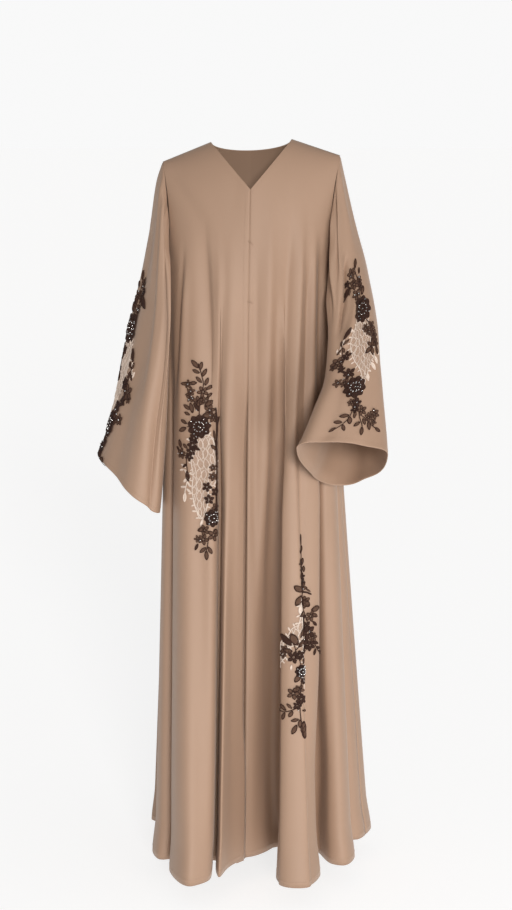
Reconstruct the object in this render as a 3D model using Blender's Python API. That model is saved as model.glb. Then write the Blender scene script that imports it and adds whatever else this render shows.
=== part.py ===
"""Open-front abaya cloak, worn: two fronts, a back, two wide set-in sleeves, thread loops, lace patches
and flower sprays.

Metres, +Z up. The wearer faces -Y, so the garment's right is -X. The origin is the middle of the base of
the neck, level with the shoulder seams, where the cloak is held up. Every cloth wall is a loft: columns
run from a top edge (neckline, shoulder seam, armhole) over the chest down to the hem, and the hem's plan
is a spline through one row for each ridge and each valley of the folds.
"""

import math

import bmesh
import bpy
import numpy as np
from mathutils import Vector
from mathutils.geometry import delaunay_2d_cdt

# ---------------------------------------------------------------- driving dimensions
WALL = 0.0015            # thickness of every cloth wall
SEAM_GAP = 0.0004        # left between two pieces that are sewn together
HEM_Z = -1.500           # cut length below the shoulder neck point
CHEST_Z = -0.290         # level where the cloth leaves the chest and hangs free
CHEST_HALF_WIDTH = 0.170
FRONT_DEPTH = 0.135      # chest in front of the shoulder line
BACK_DEPTH = 0.115       # shoulder blades behind it
SHOULDER_REACH = 0.200   # half width that the section grows to at shoulder level
ROUNDNESS = 2.3          # exponent of the oval section: 2 is an ellipse
DEPTH_PROFILE = (1.6, 0.468)  # the depth closes towards the shoulder line as (1 - tau**first)**second
NECK_HALF_WIDTH = 0.082
NECK_POINT_Z = 0.0
SHOULDER_POINT = (0.180, -0.036)
V_BOTTOM_Z = -0.096
BACK_NECK_Z = -0.020
SHOULDER_TILT = 0.035    # rise across the shoulders towards the garment's left
SHOULDER_SHIFT = 0.005   # sideways shift of the shoulders over the chest
FOLD_GROWTH = 1.10       # exponent with which the folds deepen from chest to hem
HEM_KICK = 0.006         # the last stretch above the hem turns outwards
HEM_KICK_FROM = 0.93
MITRE_LIMIT = 0.65       # on sharp creases the wall is at most 1 / this thicker
SOLVER_STEPS = 40        # passes that settle a point of the neckline on the torso
NORMAL_RANGE = (0.02, 0.985)  # the torso's normals are read inside this range of tau
NORMAL_STEP = 0.01       # and over this step
SEAM_UPRIGHT_FROM = 0.9999    # above this tau the normal stands in the plane of the shoulder seam

# Angles round the chest, degrees from the centre front towards the garment's right.
NECK_AT, SHOULDER_AT, UNDERARM_AT = 22.0, 42.0, 90.0

# One row for each ridge, valley or flank of the folds: where it leaves the chest, in degrees, and where its
# hem stands in plan, in metres. Rows at 0 to 90 are the right front, to 270 the back, to 360 the left front.
FOLD_COLUMNS = ("angle", "hem_x", "hem_y")
FOLDS = (
    (0.0, -0.010, -0.082),
    (6.0, -0.042, -0.136),
    (10.5, -0.060, -0.186),
    (13.0, -0.067, -0.145),
    (14.5, -0.064, -0.100),
    (16.0, -0.075, -0.096),
    (17.5, -0.076, -0.148),
    (22.0, -0.084, -0.203),
    (42.0, -0.119, -0.232),
    (52.0, -0.147, -0.194),
    (60.0, -0.162, -0.135),
    (67.0, -0.134, -0.072),
    (70.0, -0.136, -0.060),
    (74.0, -0.158, -0.088),
    (79.0, -0.184, -0.094),
    (85.0, -0.202, -0.045),
    (90.0, -0.192, 0.015),
    (100.0, -0.160, 0.070),
    (110.0, -0.215, 0.135),
    (120.0, -0.145, 0.130),
    (138.0, -0.150, 0.228),
    (158.0, -0.092, 0.150),
    (169.0, -0.060, 0.256),
    (180.0, -0.008, 0.155),
    (191.0, 0.050, 0.258),
    (202.0, 0.088, 0.160),
    (222.0, 0.145, 0.240),
    (240.0, 0.152, 0.148),
    (250.0, 0.228, 0.172),
    (260.0, 0.198, 0.108),
    (266.0, 0.262, 0.098),
    (270.0, 0.250, 0.045),
    (275.0, 0.230, 0.015),
    (280.0, 0.203, 0.008),
    (285.0, 0.219, -0.078),
    (292.0, 0.197, -0.125),
    (300.0, 0.166, -0.116),
    (306.0, 0.136, -0.058),
    (310.0, 0.147, -0.180),
    (318.0, 0.118, -0.238),
    (330.0, 0.072, -0.236),
    (338.0, 0.050, -0.198),
    (344.0, 0.062, -0.020),
    (351.0, 0.036, -0.052),
    (356.0, 0.012, -0.072),
    (360.0, -0.010, -0.082),
)
COLUMN_SPACING = 0.038   # widest hem step between two columns of the wall
EDGE_SPACING = 0.021     # widest step between them along the neckline, shoulder and armhole
YOKE_ROWS = 6            # between the top edge and the chest
YOKE_CROWDING = 1.6      # above 1 the rows crowd towards the top edge
SKIRT_ROWS = 8           # between the chest and the hem

# The armhole edge below the shoulder point: over which chest angle, at which angle round the torso, height.
ARMHOLE = (
    (47.0, 62.4, -0.064),
    (55.0, 62.8, -0.118),
    (66.0, 66.0, -0.180),
    (79.0, 76.5, -0.230),
    (90.0, 90.0, -0.252),
)


# ---------------------------------------------------------------- shapes and splines
def unit(vectors):
    return vectors / np.maximum(np.linalg.norm(vectors, axis=-1, keepdims=True), 1e-12)


def signed_power(value, exponent):
    return np.sign(value) * np.abs(value) ** exponent


def spline(knots, values, at):
    """A smooth curve through values (rows) at the rising knots, read at each parameter in at."""
    knots, values, at = np.asarray(knots, float), np.asarray(values, float), np.asarray(at, float)
    step = np.diff(knots)
    slope = np.diff(values, axis=0) / step[:, None]
    tangent = np.empty_like(values)
    tangent[0], tangent[-1] = slope[0], slope[-1]
    both = (step[:-1] + step[1:])[:, None]
    tangent[1:-1] = (slope[:-1] * step[1:, None] + slope[1:] * step[:-1, None]) / both
    i = np.clip(np.searchsorted(knots, at, side="right") - 1, 0, len(step) - 1)
    t = ((at - knots[i]) / step[i])[:, None]
    h = step[i][:, None]
    return ((2 * t**3 - 3 * t**2 + 1) * values[i] + (t**3 - 2 * t**2 + t) * h * tangent[i]
            + (3 * t**2 - 2 * t**3) * values[i + 1] + (t**3 - t**2) * h * tangent[i + 1])


def smoothstep(value):
    t = np.clip(value, 0, 1)
    return t * t * (3 - 2 * t)


# ---------------------------------------------------------------- the upper body
def shoulder_height(beta):
    """Height of the shoulder line over the oval's angle beta (radians)."""
    drop = (NECK_POINT_Z - SHOULDER_POINT[1]) / (SHOULDER_POINT[0] - NECK_HALF_WIDTH)
    reach = SHOULDER_REACH * np.abs(np.sin(beta)) ** (2 / ROUNDNESS)
    return NECK_POINT_Z - drop * (reach - NECK_HALF_WIDTH)


def chest_width(tau):
    return CHEST_HALF_WIDTH + (SHOULDER_REACH - CHEST_HALF_WIDTH) * tau**2


def torso(alpha, tau):
    """The cloth over the upper body: alpha is the angle round it from the centre front, tau runs from 0
    at the chest to 1 on the shoulder line."""
    across, along = np.sin(alpha), np.cos(alpha)
    depth = np.where(along > 0, FRONT_DEPTH, BACK_DEPTH) * (1 - tau ** DEPTH_PROFILE[0]) ** DEPTH_PROFILE[1]
    x = -chest_width(tau) * signed_power(across, 2 / ROUNDNESS)
    y = -depth * signed_power(along, 2 / ROUNDNESS)
    z = CHEST_Z + tau * (shoulder_height(alpha) - CHEST_Z)
    return np.stack([x + SHOULDER_SHIFT * tau, y, z + SHOULDER_TILT * x * tau], axis=-1)


def on_torso(half_width, height):
    """The angle from the nearest centre and the tau at which the torso has this half width and height."""
    beta, tau = 0.5, 0.5
    for _ in range(SOLVER_STEPS):
        tau = np.clip((height - CHEST_Z) / (shoulder_height(beta) - CHEST_Z), 0, 1)
        ratio = np.clip(half_width / chest_width(tau), 0, 1)
        beta = np.arcsin(ratio ** (ROUNDNESS / 2))
    return beta, tau


def top_edge(angle):
    """(alpha, tau) of the cut edge above each chest angle in degrees: neckline, shoulder seam, armhole."""
    from_front = np.minimum(angle, 360 - angle)
    in_front = from_front <= 90
    near = np.where(in_front, from_front, 180 - from_front)
    neck_z = np.where(in_front, V_BOTTOM_Z, BACK_NECK_Z)
    k = np.clip(near / NECK_AT, 0, 1)
    scoop = np.where(in_front, k, 1 - np.sqrt(np.maximum(1 - k * k, 0)))
    width, height = NECK_HALF_WIDTH * k, neck_z + (NECK_POINT_Z - neck_z) * scoop
    seam = np.clip((near - NECK_AT) / (SHOULDER_AT - NECK_AT), 0, 1)
    width = width + (SHOULDER_POINT[0] - NECK_HALF_WIDTH) * seam
    height = height + (SHOULDER_POINT[1] - NECK_POINT_Z) * seam
    beta, tau = np.array([on_torso(w, h) for w, h in zip(width, height)]).T
    tau = np.where((near >= NECK_AT - 1e-6) & (near <= SHOULDER_AT + 1e-6), 1.0, tau)
    tip = (SHOULDER_AT, math.degrees(on_torso(*SHOULDER_POINT)[0]), SHOULDER_POINT[1])
    rows = (tip,) + ARMHOLE
    curve = spline([r[0] for r in rows], [r[1:] for r in rows], np.clip(near, SHOULDER_AT, UNDERARM_AT))
    arm_beta, arm_z = np.radians(curve[:, 0]), curve[:, 1]
    arm = near > SHOULDER_AT + 1e-6
    beta = np.where(arm, arm_beta, beta)
    tau = np.where(arm, (arm_z - CHEST_Z) / (shoulder_height(arm_beta) - CHEST_Z), tau)
    alpha = np.where(in_front, beta, math.pi - beta)
    return np.where(angle <= 180, alpha, 2 * math.pi - alpha), tau


# ---------------------------------------------------------------- the whole body surface
ANGLES = [row[FOLD_COLUMNS.index("angle")] for row in FOLDS]
HEM_PLAN = [row[FOLD_COLUMNS.index("hem_x"):] for row in FOLDS]
KNOTS = np.concatenate([[0], np.cumsum(np.sqrt(np.linalg.norm(np.diff(HEM_PLAN, axis=0), axis=1)))])


def knot_at(angle):
    return KNOTS[ANGLES.index(angle)]


def columns_between(first, last):
    """Parameters of the wall's columns from one fold row's angle to another's: no step between two of them
    is wider than the spacing, at the hem or along the top edge."""
    found = []
    edge = torso(*top_edge(np.array(ANGLES)))
    for i in range(ANGLES.index(first), ANGLES.index(last)):
        steps = max(1, round(math.dist(HEM_PLAN[i], HEM_PLAN[i + 1]) / COLUMN_SPACING),
                    round(math.dist(edge[i], edge[i + 1]) / EDGE_SPACING))
        found += [KNOTS[i] + (KNOTS[i + 1] - KNOTS[i]) * k / steps for k in range(steps)]
    return np.array(found + [knot_at(last)])


def chest_angle(columns):
    return np.interp(columns, KNOTS, ANGLES)


def yoke_angles(columns, levels):
    """(alpha, tau) of every grid point, from the top edge down to the chest."""
    angle = chest_angle(columns)
    edge_alpha, edge_tau = top_edge(angle)
    down = np.clip(levels, 0, 1)[None]
    alpha = edge_alpha[:, None] + (np.radians(angle) - edge_alpha)[:, None] * down ** (1 / YOKE_CROWDING)
    return alpha, edge_tau[:, None] * (1 - down)


def yoke_normals(columns, levels):
    """Outward normals of the upper body, from its formula; the shoulder seam's are upright."""
    alpha, tau = yoke_angles(columns, levels)
    inside = np.clip(tau, *NORMAL_RANGE)
    step = NORMAL_STEP
    round_it = torso(alpha + step, inside) - torso(alpha - step, inside)
    up_it = torso(alpha, inside + step) - torso(alpha, inside - step)
    out = unit(np.cross(up_it, round_it))
    out[tau > SEAM_UPRIGHT_FROM, 1] = 0
    return unit(out)


def body(columns, levels):
    """Points of the body cloth. A column is a parameter along the folds; a level runs from 0 on the top
    edge through 1 at the chest to 2 at the hem."""
    plan = spline(KNOTS, HEM_PLAN, columns)
    points = torso(*yoke_angles(columns, levels))
    fall = np.broadcast_to(np.clip(levels - 1, 0, 1), points.shape[:2])
    grown = (fall**FOLD_GROWTH)[..., None]
    points[..., :2] += (plan[:, None] - points[..., :2]) * grown
    points[..., 2] += (HEM_Z - CHEST_Z) * fall
    out = points[..., :2] / np.linalg.norm(points[..., :2], axis=-1, keepdims=True)
    kick = smoothstep((fall - HEM_KICK_FROM) / (1 - HEM_KICK_FROM)) * HEM_KICK
    points[..., :2] += out * kick[..., None]
    return points


def normals_of(grid, closed=False):
    """Outward normals of a grid of points whose columns run round to the garment's right. On a crease the
    normal halves the angle and is longer than 1, so that walls moved along it keep their thickness."""
    ahead = unit(np.roll(grid, -1, axis=0) - grid)
    behind = unit(grid - np.roll(grid, 1, axis=0))
    if not closed:
        ahead[-1], behind[0] = behind[-1], ahead[0]
    along = (ahead + behind) / 2
    down = unit(np.gradient(grid, axis=1))
    turn = np.linalg.norm(along, axis=-1, keepdims=True)
    return unit(np.cross(along, down)) / np.clip(turn, MITRE_LIMIT, 1)


LEVELS = np.concatenate([np.linspace(0, 1, YOKE_ROWS, endpoint=False)**YOKE_CROWDING,
                         np.linspace(1, 2, SKIRT_ROWS + 1)])


# ---------------------------------------------------------------- walls
def new_object(name, vertices, faces, material, collection):
    mesh = bpy.data.meshes.new(name)
    mesh.from_pydata([tuple(v) for v in vertices], [], faces)
    shape = bmesh.new()
    shape.from_mesh(mesh)
    bmesh.ops.remove_doubles(shape, verts=shape.verts, dist=0.00001)
    bmesh.ops.triangulate(shape, faces=shape.faces)
    bmesh.ops.recalc_face_normals(shape, faces=shape.faces)
    shape.to_mesh(mesh)
    shape.free()
    mesh.materials.append(material)
    found = bpy.data.objects.new(name, mesh)
    collection.objects.link(found)
    return found


def wall(name, outer, normals, material, collection, closed=False):
    """A closed cloth wall: the grid of its outer face, the same grid moved in by WALL, and the rims."""
    inner = outer - normals * WALL
    columns, rows = outer.shape[:2]
    vertices = np.concatenate([outer.reshape(-1, 3), inner.reshape(-1, 3)])
    under = columns * rows
    faces = []
    for u in range(columns if closed else columns - 1):
        w = (u + 1) % columns
        for v in range(rows - 1):
            a, b, c, d = u * rows + v, w * rows + v, w * rows + v + 1, u * rows + v + 1
            faces += [(a, b, c), (a, c, d)]
            faces += [(under + a, under + c, under + b), (under + a, under + d, under + c)]
        for v in (0, rows - 1):
            a, b = u * rows + v, w * rows + v
            faces += [(a, b, under + b, under + a)]
    for u in () if closed else (0, columns - 1):
        for v in range(rows - 1):
            a, b = u * rows + v, u * rows + v + 1
            faces += [(a, b, under + b, under + a)]
    return new_object(name, vertices, faces, material, collection)


def moved_in(grid, index, axis, gap):
    """The grid with one end row or column drawn back by gap along the cloth."""
    grid = grid.copy()
    line = grid[index] if axis == 0 else grid[:, index]
    beside = 1 if index == 0 else -2
    neighbour = grid[beside] if axis == 0 else grid[:, beside]
    way = neighbour - line
    edge = unit(np.gradient(line, axis=0))
    line += unit(way - edge * np.sum(way * edge, axis=-1, keepdims=True)) * gap
    return grid


def cloth_material(name, rgb, roughness):
    material = bpy.data.materials.new(name)
    material.use_nodes = True
    shader = material.node_tree.nodes["Principled BSDF"]
    shader.inputs["Base Color"].default_value = (*rgb, 1)
    shader.inputs["Roughness"].default_value = roughness
    shader.inputs["Metallic"].default_value = 0
    return material


# ---------------------------------------------------------------- the fronts and the back
LAP = 0.022              # how far the left front runs under the right front
LAP_COLUMNS = 3
EDGE_LIFT = 0.0030       # the right front's edge stands this far off the left front
EDGE_LIFT_WIDTH = 0.050  # and comes down over this width
LAP_SINK = (0.0005, 0.0042)  # the underlap lies this deep at the edge and at its free side
LAP_HEM_DROP = 0.006     # its hem hangs lower by this
LAP_DROP_EXPONENT = 6    # which shows only near the hem
SIDE_RIGHT, SIDE_LEFT = 90.0, 270.0


def body_cloth():
    """Columns, grid and normals of the whole body cloth, closed but for the slit."""
    columns = np.concatenate([columns_between(0.0, SIDE_RIGHT), columns_between(SIDE_RIGHT, SIDE_LEFT)[1:],
                              columns_between(SIDE_LEFT, 360.0)[1:]])
    grid = body(columns, LEVELS)
    normals = normals_of(grid)
    normals[:, :YOKE_ROWS] = yoke_normals(columns, LEVELS)[:, :YOKE_ROWS]
    return columns, grid, normals


def front_right_grid(columns, grid, normals):
    last = int(np.searchsorted(columns, knot_at(SIDE_RIGHT) - 1e-9)) + 1
    outer, out = grid[:last].copy(), normals[:last]
    from_edge = np.cumsum(np.linalg.norm(np.diff(outer, axis=0, prepend=outer[:1]), axis=-1), axis=0)
    outer += out * (EDGE_LIFT * (1 - smoothstep(from_edge / EDGE_LIFT_WIDTH)))[..., None]
    return outer, out


def front_left_grid(columns, grid, normals):
    first = int(np.searchsorted(columns, knot_at(SIDE_LEFT) - 1e-9))
    outer, out = grid[first:], normals[first:]
    right = front_right_grid(columns, grid, normals)[0]
    under = grid[:right.shape[0]]
    reach = np.cumsum(np.linalg.norm(np.diff(under, axis=0, prepend=under[:1]), axis=-1), axis=0)
    laps, lap_normals = [], []
    for k in range(1, LAP_COLUMNS + 1):
        wanted = LAP * k / LAP_COLUMNS
        sink = LAP_SINK[0] + (LAP_SINK[1] - LAP_SINK[0]) * k / LAP_COLUMNS
        column, way = [], []
        for v in range(grid.shape[1]):
            i = int(np.clip(np.searchsorted(reach[:, v], wanted) - 1, 0, len(reach) - 2))
            t = (wanted - reach[i, v]) / (reach[i + 1, v] - reach[i, v])
            n = normals[i, v] + (normals[i + 1, v] - normals[i, v]) * t
            n /= np.linalg.norm(n)
            column.append(under[i, v] + (under[i + 1, v] - under[i, v]) * t - n * sink)
            way.append(n)
        laps.append(column)
        lap_normals.append(way)
    outer = np.concatenate([outer, laps])
    out = np.concatenate([out, lap_normals])
    outer[-LAP_COLUMNS:, :, 2] -= LAP_HEM_DROP * (np.clip(LEVELS - 1, 0, 1) ** LAP_DROP_EXPONENT)
    return outer, out


# ---------------------------------------------------------------- the sleeves
# One row for each cross-section, from armhole to cuff: its outermost, innermost, front and back points.
RIGHT_SECTIONS = (
    ((-0.189, 0.000, -0.085), (-0.176, -0.006, -0.262), (-0.166, -0.074, -0.188), (-0.175, 0.060, -0.182)),
    ((-0.200, 0.000, -0.155), (-0.176, -0.024, -0.280), (-0.166, -0.093, -0.226), (-0.188, 0.075, -0.222)),
    ((-0.214, 0.000, -0.240), (-0.172, -0.052, -0.314), (-0.169, -0.108, -0.282), (-0.200, 0.086, -0.275)),
    ((-0.234, 0.000, -0.320), (-0.167, -0.082, -0.380), (-0.175, -0.117, -0.355), (-0.208, 0.092, -0.347)),
    ((-0.255, 0.000, -0.415), (-0.166, -0.092, -0.480), (-0.191, -0.123, -0.451), (-0.219, 0.096, -0.443)),
    ((-0.275, 0.000, -0.515), (-0.168, -0.096, -0.592), (-0.216, -0.127, -0.556), (-0.233, 0.100, -0.548)),
    ((-0.301, 0.000, -0.608), (-0.177, -0.092, -0.702), (-0.232, -0.131, -0.656), (-0.248, 0.104, -0.645)),
    ((-0.314, 0.000, -0.645), (-0.182, -0.090, -0.747), (-0.240, -0.133, -0.702), (-0.255, 0.106, -0.688)),
)
LEFT_SECTIONS = (
    ((0.197, 0.000, -0.080), (0.1775, -0.008, -0.262), (0.170, -0.077, -0.188), (0.184, 0.058, -0.184)),
    ((0.2125, -0.012, -0.148), (0.175, -0.036, -0.283), (0.172, -0.102, -0.224), (0.200, 0.068, -0.228)),
    ((0.236, -0.048, -0.247), (0.166, -0.085, -0.327), (0.182, -0.137, -0.287), (0.219, 0.068, -0.300)),
    ((0.2565, -0.098, -0.355), (0.158, -0.138, -0.400), (0.198, -0.183, -0.365), (0.228, 0.045, -0.410)),
    ((0.263, -0.145, -0.452), (0.148, -0.188, -0.470), (0.206, -0.219, -0.430), (0.220, 0.004, -0.520)),
    ((0.267, -0.178, -0.510), (0.128, -0.230, -0.515), (0.198, -0.252, -0.483), (0.210, -0.045, -0.590)),
    ((0.272, -0.215, -0.575), (0.105, -0.266, -0.565), (0.186, -0.287, -0.545), (0.197, -0.098, -0.660)),
    ((0.273, -0.238, -0.607), (0.092, -0.280, -0.588), (0.180, -0.302, -0.569), (0.187, -0.120, -0.687)),
)
# One row for each fold: where round the sleeve (degrees: 0 outer line, 90 front, 180 inner line), how far it
# stands out (metres), how wide it is (degrees) and over which sections it grows.
RIGHT_FOLDS = (
    (60.0, -0.007, 20.0, 2.5, 6.0),
    (95.0, 0.008, 20.0, 2.5, 6.5),
    (130.0, -0.012, 20.0, 2.5, 6.5),
    (-50.0, -0.008, 20.0, 2.5, 7.0),
    (-92.0, 0.010, 22.0, 2.5, 7.0),
    (-135.0, -0.012, 22.0, 2.5, 7.0),
)
LEFT_FOLDS = (
    (60.0, -0.010, 24.0, 1.2, 3.0),
    (110.0, -0.008, 22.0, 2.0, 4.0),
    (-55.0, -0.010, 22.0, 2.5, 7.0),
    (-100.0, 0.010, 22.0, 2.5, 7.0),
    (-145.0, -0.012, 20.0, 2.5, 7.0),
)
SLEEVE_SQUARENESS = 2.3      # exponent of the sleeve's oval section
RING_SPACING = 18.0          # degrees between the columns round a sleeve, at most
SLEEVE_SPLITS = 2            # rows of the wall for each section
HEAD_PASSES = 2              # passes that set the sleeve head its seam gap outside the body


def armhole_loop(grid, columns, side):
    """The body's armhole edge as a loop from the shoulder point down the front and up the back."""
    front = (SHOULDER_AT, SIDE_RIGHT) if side < 0 else (SIDE_LEFT, 360 - SHOULDER_AT)
    back = (SIDE_RIGHT, 180 - SHOULDER_AT) if side < 0 else (180 + SHOULDER_AT, SIDE_LEFT)

    def run(span):
        low, high = (int(np.searchsorted(columns, knot_at(a) - 1e-9)) for a in span)
        return grid[low:high + 1, 0]

    if side < 0:
        front_run, back_run = run(front), run(back)
    else:
        front_run, back_run = run(front)[::-1], run(back)[::-1]
    return front_run, back_run


def sleeve_ring_angles(front_run, back_run):
    """The angle round the sleeve of each armhole point: 0 shoulder, 180 underarm, on to 360."""
    angles = []
    for run, start in ((front_run, 0.0), (back_run, math.pi)):
        length = np.concatenate([[0], np.cumsum(np.linalg.norm(np.diff(run, axis=0), axis=1))])
        angles.append(start + math.pi * length / length[-1])
    return angles


def sleeve(grid, normals, columns, side, sections, folds):
    """Outer grid and normals of a sleeve: columns round it, rows from the armhole to the cuff."""
    front_run, back_run = armhole_loop(grid, columns, side)
    front_in, back_in = armhole_loop(grid - normals * WALL, columns, side)
    front_angles, back_angles = sleeve_ring_angles(front_run, back_run)
    head = np.concatenate([front_run, back_run[1:-1]])
    head_in = np.concatenate([front_in, back_in[1:-1]])
    head[:, 0] = side * np.maximum(side * head[:, 0], side * head_in[:, 0])
    phi = np.concatenate([front_angles, back_angles[1:-1]])
    # chords longer than the spacing are divided
    loop, ring = [], []
    for i in range(len(head)):
        j = (i + 1) % len(head)
        step = (phi[j] - phi[i]) % (2 * math.pi)
        parts = max(1, round(step / math.radians(RING_SPACING)))
        for k in range(parts):
            loop.append(head[i] + (head[j] - head[i]) * k / parts)
            ring.append(phi[i] + step * k / parts)
    loop, ring = np.array(loop), np.array(ring)
    across, along = np.cos(ring)[:, None], np.sin(ring)[:, None]
    across, along = (signed_power(a, 2 / SLEEVE_SQUARENESS) for a in (across, along))
    levels = np.linspace(1, len(sections), (len(sections) - 1) * SLEEVE_SPLITS + 1)
    rows = spline(np.arange(1, len(sections) + 1), np.array(sections).reshape(len(sections), 12), levels)
    found = [loop]
    for level, row in zip(levels, rows):
        outer, inner, front, back = row.reshape(4, 3)
        centre = (outer + inner) / 2
        middle = (front + back) / 2
        points = centre + (outer - centre) * across
        points = points + np.where(along > 0, front - middle, back - middle) * np.abs(along)
        points = points + (middle - centre) * np.abs(along)
        away = points - (centre + middle) / 2
        away /= np.linalg.norm(away, axis=1, keepdims=True)
        for at, stands_out, width, first, last in folds:
            apart = (np.degrees(ring) - at + 180) % 360 - 180
            grown = float(smoothstep((level - first) / (last - first)))
            points = points + away * (stands_out * grown * np.exp(-(apart / width) ** 2))[:, None]
        found.append(points)
    found = np.array(found).transpose(1, 0, 2)
    found = found if side > 0 else found[::-1]
    head_x = found[:, 0, 0].copy()
    for _ in range(HEAD_PASSES):
        out = normals_of(found, closed=True)
        found[:, 0, 0] = head_x + side * (SEAM_GAP + WALL * np.maximum(side * out[:, 0, 0], 0))
    return found, out


# ---------------------------------------------------------------- appliques
LACE_LIFT = (0.0004, 0.0012)     # under and upper face of the lace patches above the cloth
SPRAY_LIFT = (0.0015, 0.0025)    # and of the flower sprays sewn over them
STEM_HALF_WIDTH = 1.5            # millimetres
STEM_OVERLAP = 0.6               # how far each bar of a stem runs past its joints
LEAF_SLENDERNESS = 0.46          # half width of a leaf over its length
LEAF_STATIONS = ((-0.06, 0), (0.35, 1), (0.7, 0.75), (1, 0), (0.7, -0.75), (0.35, -1))
SMALL_LEAF_STATIONS = ((-0.06, 0), (0.5, 1.1), (1, 0), (0.5, -1.1))
SMALL_LEAF = 16          # millimetres; leaves no longer than this have fewer corners
PETALS = 5
PETAL_DEPTH = 0.16               # how far the notches between petals go in, over the radius
PETAL_TURN = 0.3
SMALL_FLOWER = 10                # millimetres; flowers no wider than this radius are plain five-sided

# Motifs lie flat in millimetres: across to the right, then down. A stem is a run of points; a leaf is
# its foot, its length and the way it points in degrees (0 right, 90 down); a flower its middle and radius.
HIP_STEMS = (
    ((0, 0), (-6, -40), (-2, -80), (-12, -118)),
    ((-4, 14), (-15, 44), (-24, 66), (-16, 96)),
    ((12, 12), (40, 34), (42, 84), (33, 140), (36, 182), (24, 214), (18, 246)),
    ((41, 50), (44, 10), (46, -20)),
    ((-4, -44), (-20, -60), (-28, -82)),
    ((-8, 0), (-26, 4)),
)
HIP_LEAVES = (
    (-12, -118, 18, -115), (-10, -112, 16, -50), (-7, -100, 16, -160), (-6, -96, 16, -35),
    (-4, -84, 15, -170), (-3, -70, 16, -25), (-5, -46, 18, -20), (-4, -30, 24, -155), (2, -14, 30, -50),
    (8, -8, 30, -15),
    (-24, 4, 17, -140), (-24, 4, 17, 150), (-22, 60, 20, -165), (-22, 62, 18, -120), (-18, 88, 18, 80),
    (-22, 74, 14, 170), (46, -20, 18, -95), (44, 4, 15, -40), (44, 20, 15, -140), (41, 60, 16, -30),
    (40, 96, 14, 20), (28, 206, 20, 160), (22, 222, 18, 20), (19, 240, 14, 150), (18, 246, 18, 85),
    (26, 210, 22, 60),
)
HIP_FLOWERS = (
    (0, 0, 21), (-28, -84, 9), (-20, -62, 9), (-15, 46, 11), (-33, 58, 10), (19, 132, 9), (33, 144, 9),
    (24, 158, 8), (36, 182, 17), (8, 216, 10),
)
HIP_LINKS = (((19, 132), (35, 130)), ((24, 158), (35, 160)), ((-33, 58), (-20, 58)), ((8, 216), (24, 212)))
HIP_LACE = ((-4, 24), (22, 18), (34, 40), (40, 78), (36, 112), (22, 124), (20, 150), (12, 176), (4, 186),
            (-8, 160), (-14, 128), (-12, 96), (-16, 70), (-10, 44))

KNEE_STEMS = (
    ((-4, -200), (-2, -176), (0, -146), (4, -118), (11, -80), (22, -42), (22, 0), (8, 26), (0, 52), (-3, 92),
     (-4, 130), (0, 168)),
    ((22, -10), (38, -6), (52, 8), (62, 17)),
    ((-1, 44), (-12, 8), (-22, -10), (-38, -22)),
    ((-5, 128), (-28, 137), (-46, 135)),
)
KNEE_LEAVES = (
    (-4, -200, 18, -95), (-2, -178, 13, -150), (-1, -168, 13, -40), (1, -132, 17, -170), (3, -122, 18, 130),
    (4, -122, 15, 30), (20, -56, 24, -30), (22, -44, 22, 20), (52, 8, 15, -30), (50, 6, 14, 110),
    (62, 17, 17, 35),
    (-38, -22, 17, -155), (-24, -12, 18, -120), (-16, 0, 18, -60), (-12, 8, 20, -95), (-2, 66, 18, 140),
    (-46, 135, 17, 175), (-36, 137, 15, -135), (-34, 137, 15, 110), (-20, 134, 14, -110), (-18, 134, 14, 80),
    (-3, 146, 20, 140), (-1, 160, 22, 120), (0, 168, 18, 80), (-2, 150, 16, 45),
)
KNEE_FLOWERS = (
    (2, -144, 9), (4, -116, 10), (14, -80, 10), (26, -22, 12), (22, 0, 12), (0, 52, 12), (-20, 8, 11),
    (-36, 2, 10),
    (-7, 24, 10), (-5, 100, 12), (-3, 120, 9),
)
KNEE_LINKS = (((-36, 2), (-18, 2)), ((-20, 8), (-10, 14)))
KNEE_LACE = ((-8, -76), (6, -58), (12, -20), (10, 40), (8, 84), (0, 76), (-8, 36), (-30, 32), (-50, 34),
             (-44, 2), (-24, -26), (-16, -52))

SLEEVE_STEMS = (
    ((0, 0), (3, -40), (-2, -66)),
    ((1, -38), (-20, -50), (-38, -42)),
    ((4, 10), (18, 40), (22, 74)),
    ((-12, 10), (-40, 34), (-47, 78), (-36, 112), (-18, 148), (-14, 178), (-6, 192), (4, 212)),
    ((-14, 184), (-30, 204), (-38, 216)),
    ((-8, 190), (14, 198), (32, 212)),
)
SLEEVE_LEAVES = (
    (-2, -66, 18, -85), (-1, -58, 15, -150), (1, -50, 15, -30), (-38, -42, 17, 150), (-28, -47, 14, -120),
    (-22, -49, 14, 100), (3, -30, 20, -150), (-40, 34, 20, -70), (-43, 48, 14, 160), (-44, 56, 14, 10),
    (-46, 70, 14, 170), (20, 56, 16, 10), (22, 74, 16, 110), (20, 66, 18, 150), (-26, 200, 14, -10),
    (-26, 200, 14, 170), (-38, 216, 18, 125), (-34, 210, 14, 70), (4, 212, 19, 85), (0, 204, 15, 150),
    (1, 206, 15, 20), (32, 212, 16, 40), (20, 202, 14, 100), (16, 199, 15, -40),
)
SLEEVE_FLOWERS = (
    (0, 0, 21), (14, 34, 10), (20, 52, 9), (-47, 80, 11), (-36, 108, 13), (-18, 148, 17), (-14, 178, 10),
    (24, 198, 9), (-10, -52, 8),
)
SLEEVE_LINKS = (((-10, -52), (-6, -44)),)
SLEEVE_LACE = ((-26, 26), (-2, 22), (12, 26), (10, 50), (16, 84), (26, 98), (12, 112), (6, 134), (-6, 126),
               (-20, 122), (-34, 92), (-36, 62), (-30, 40))


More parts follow.
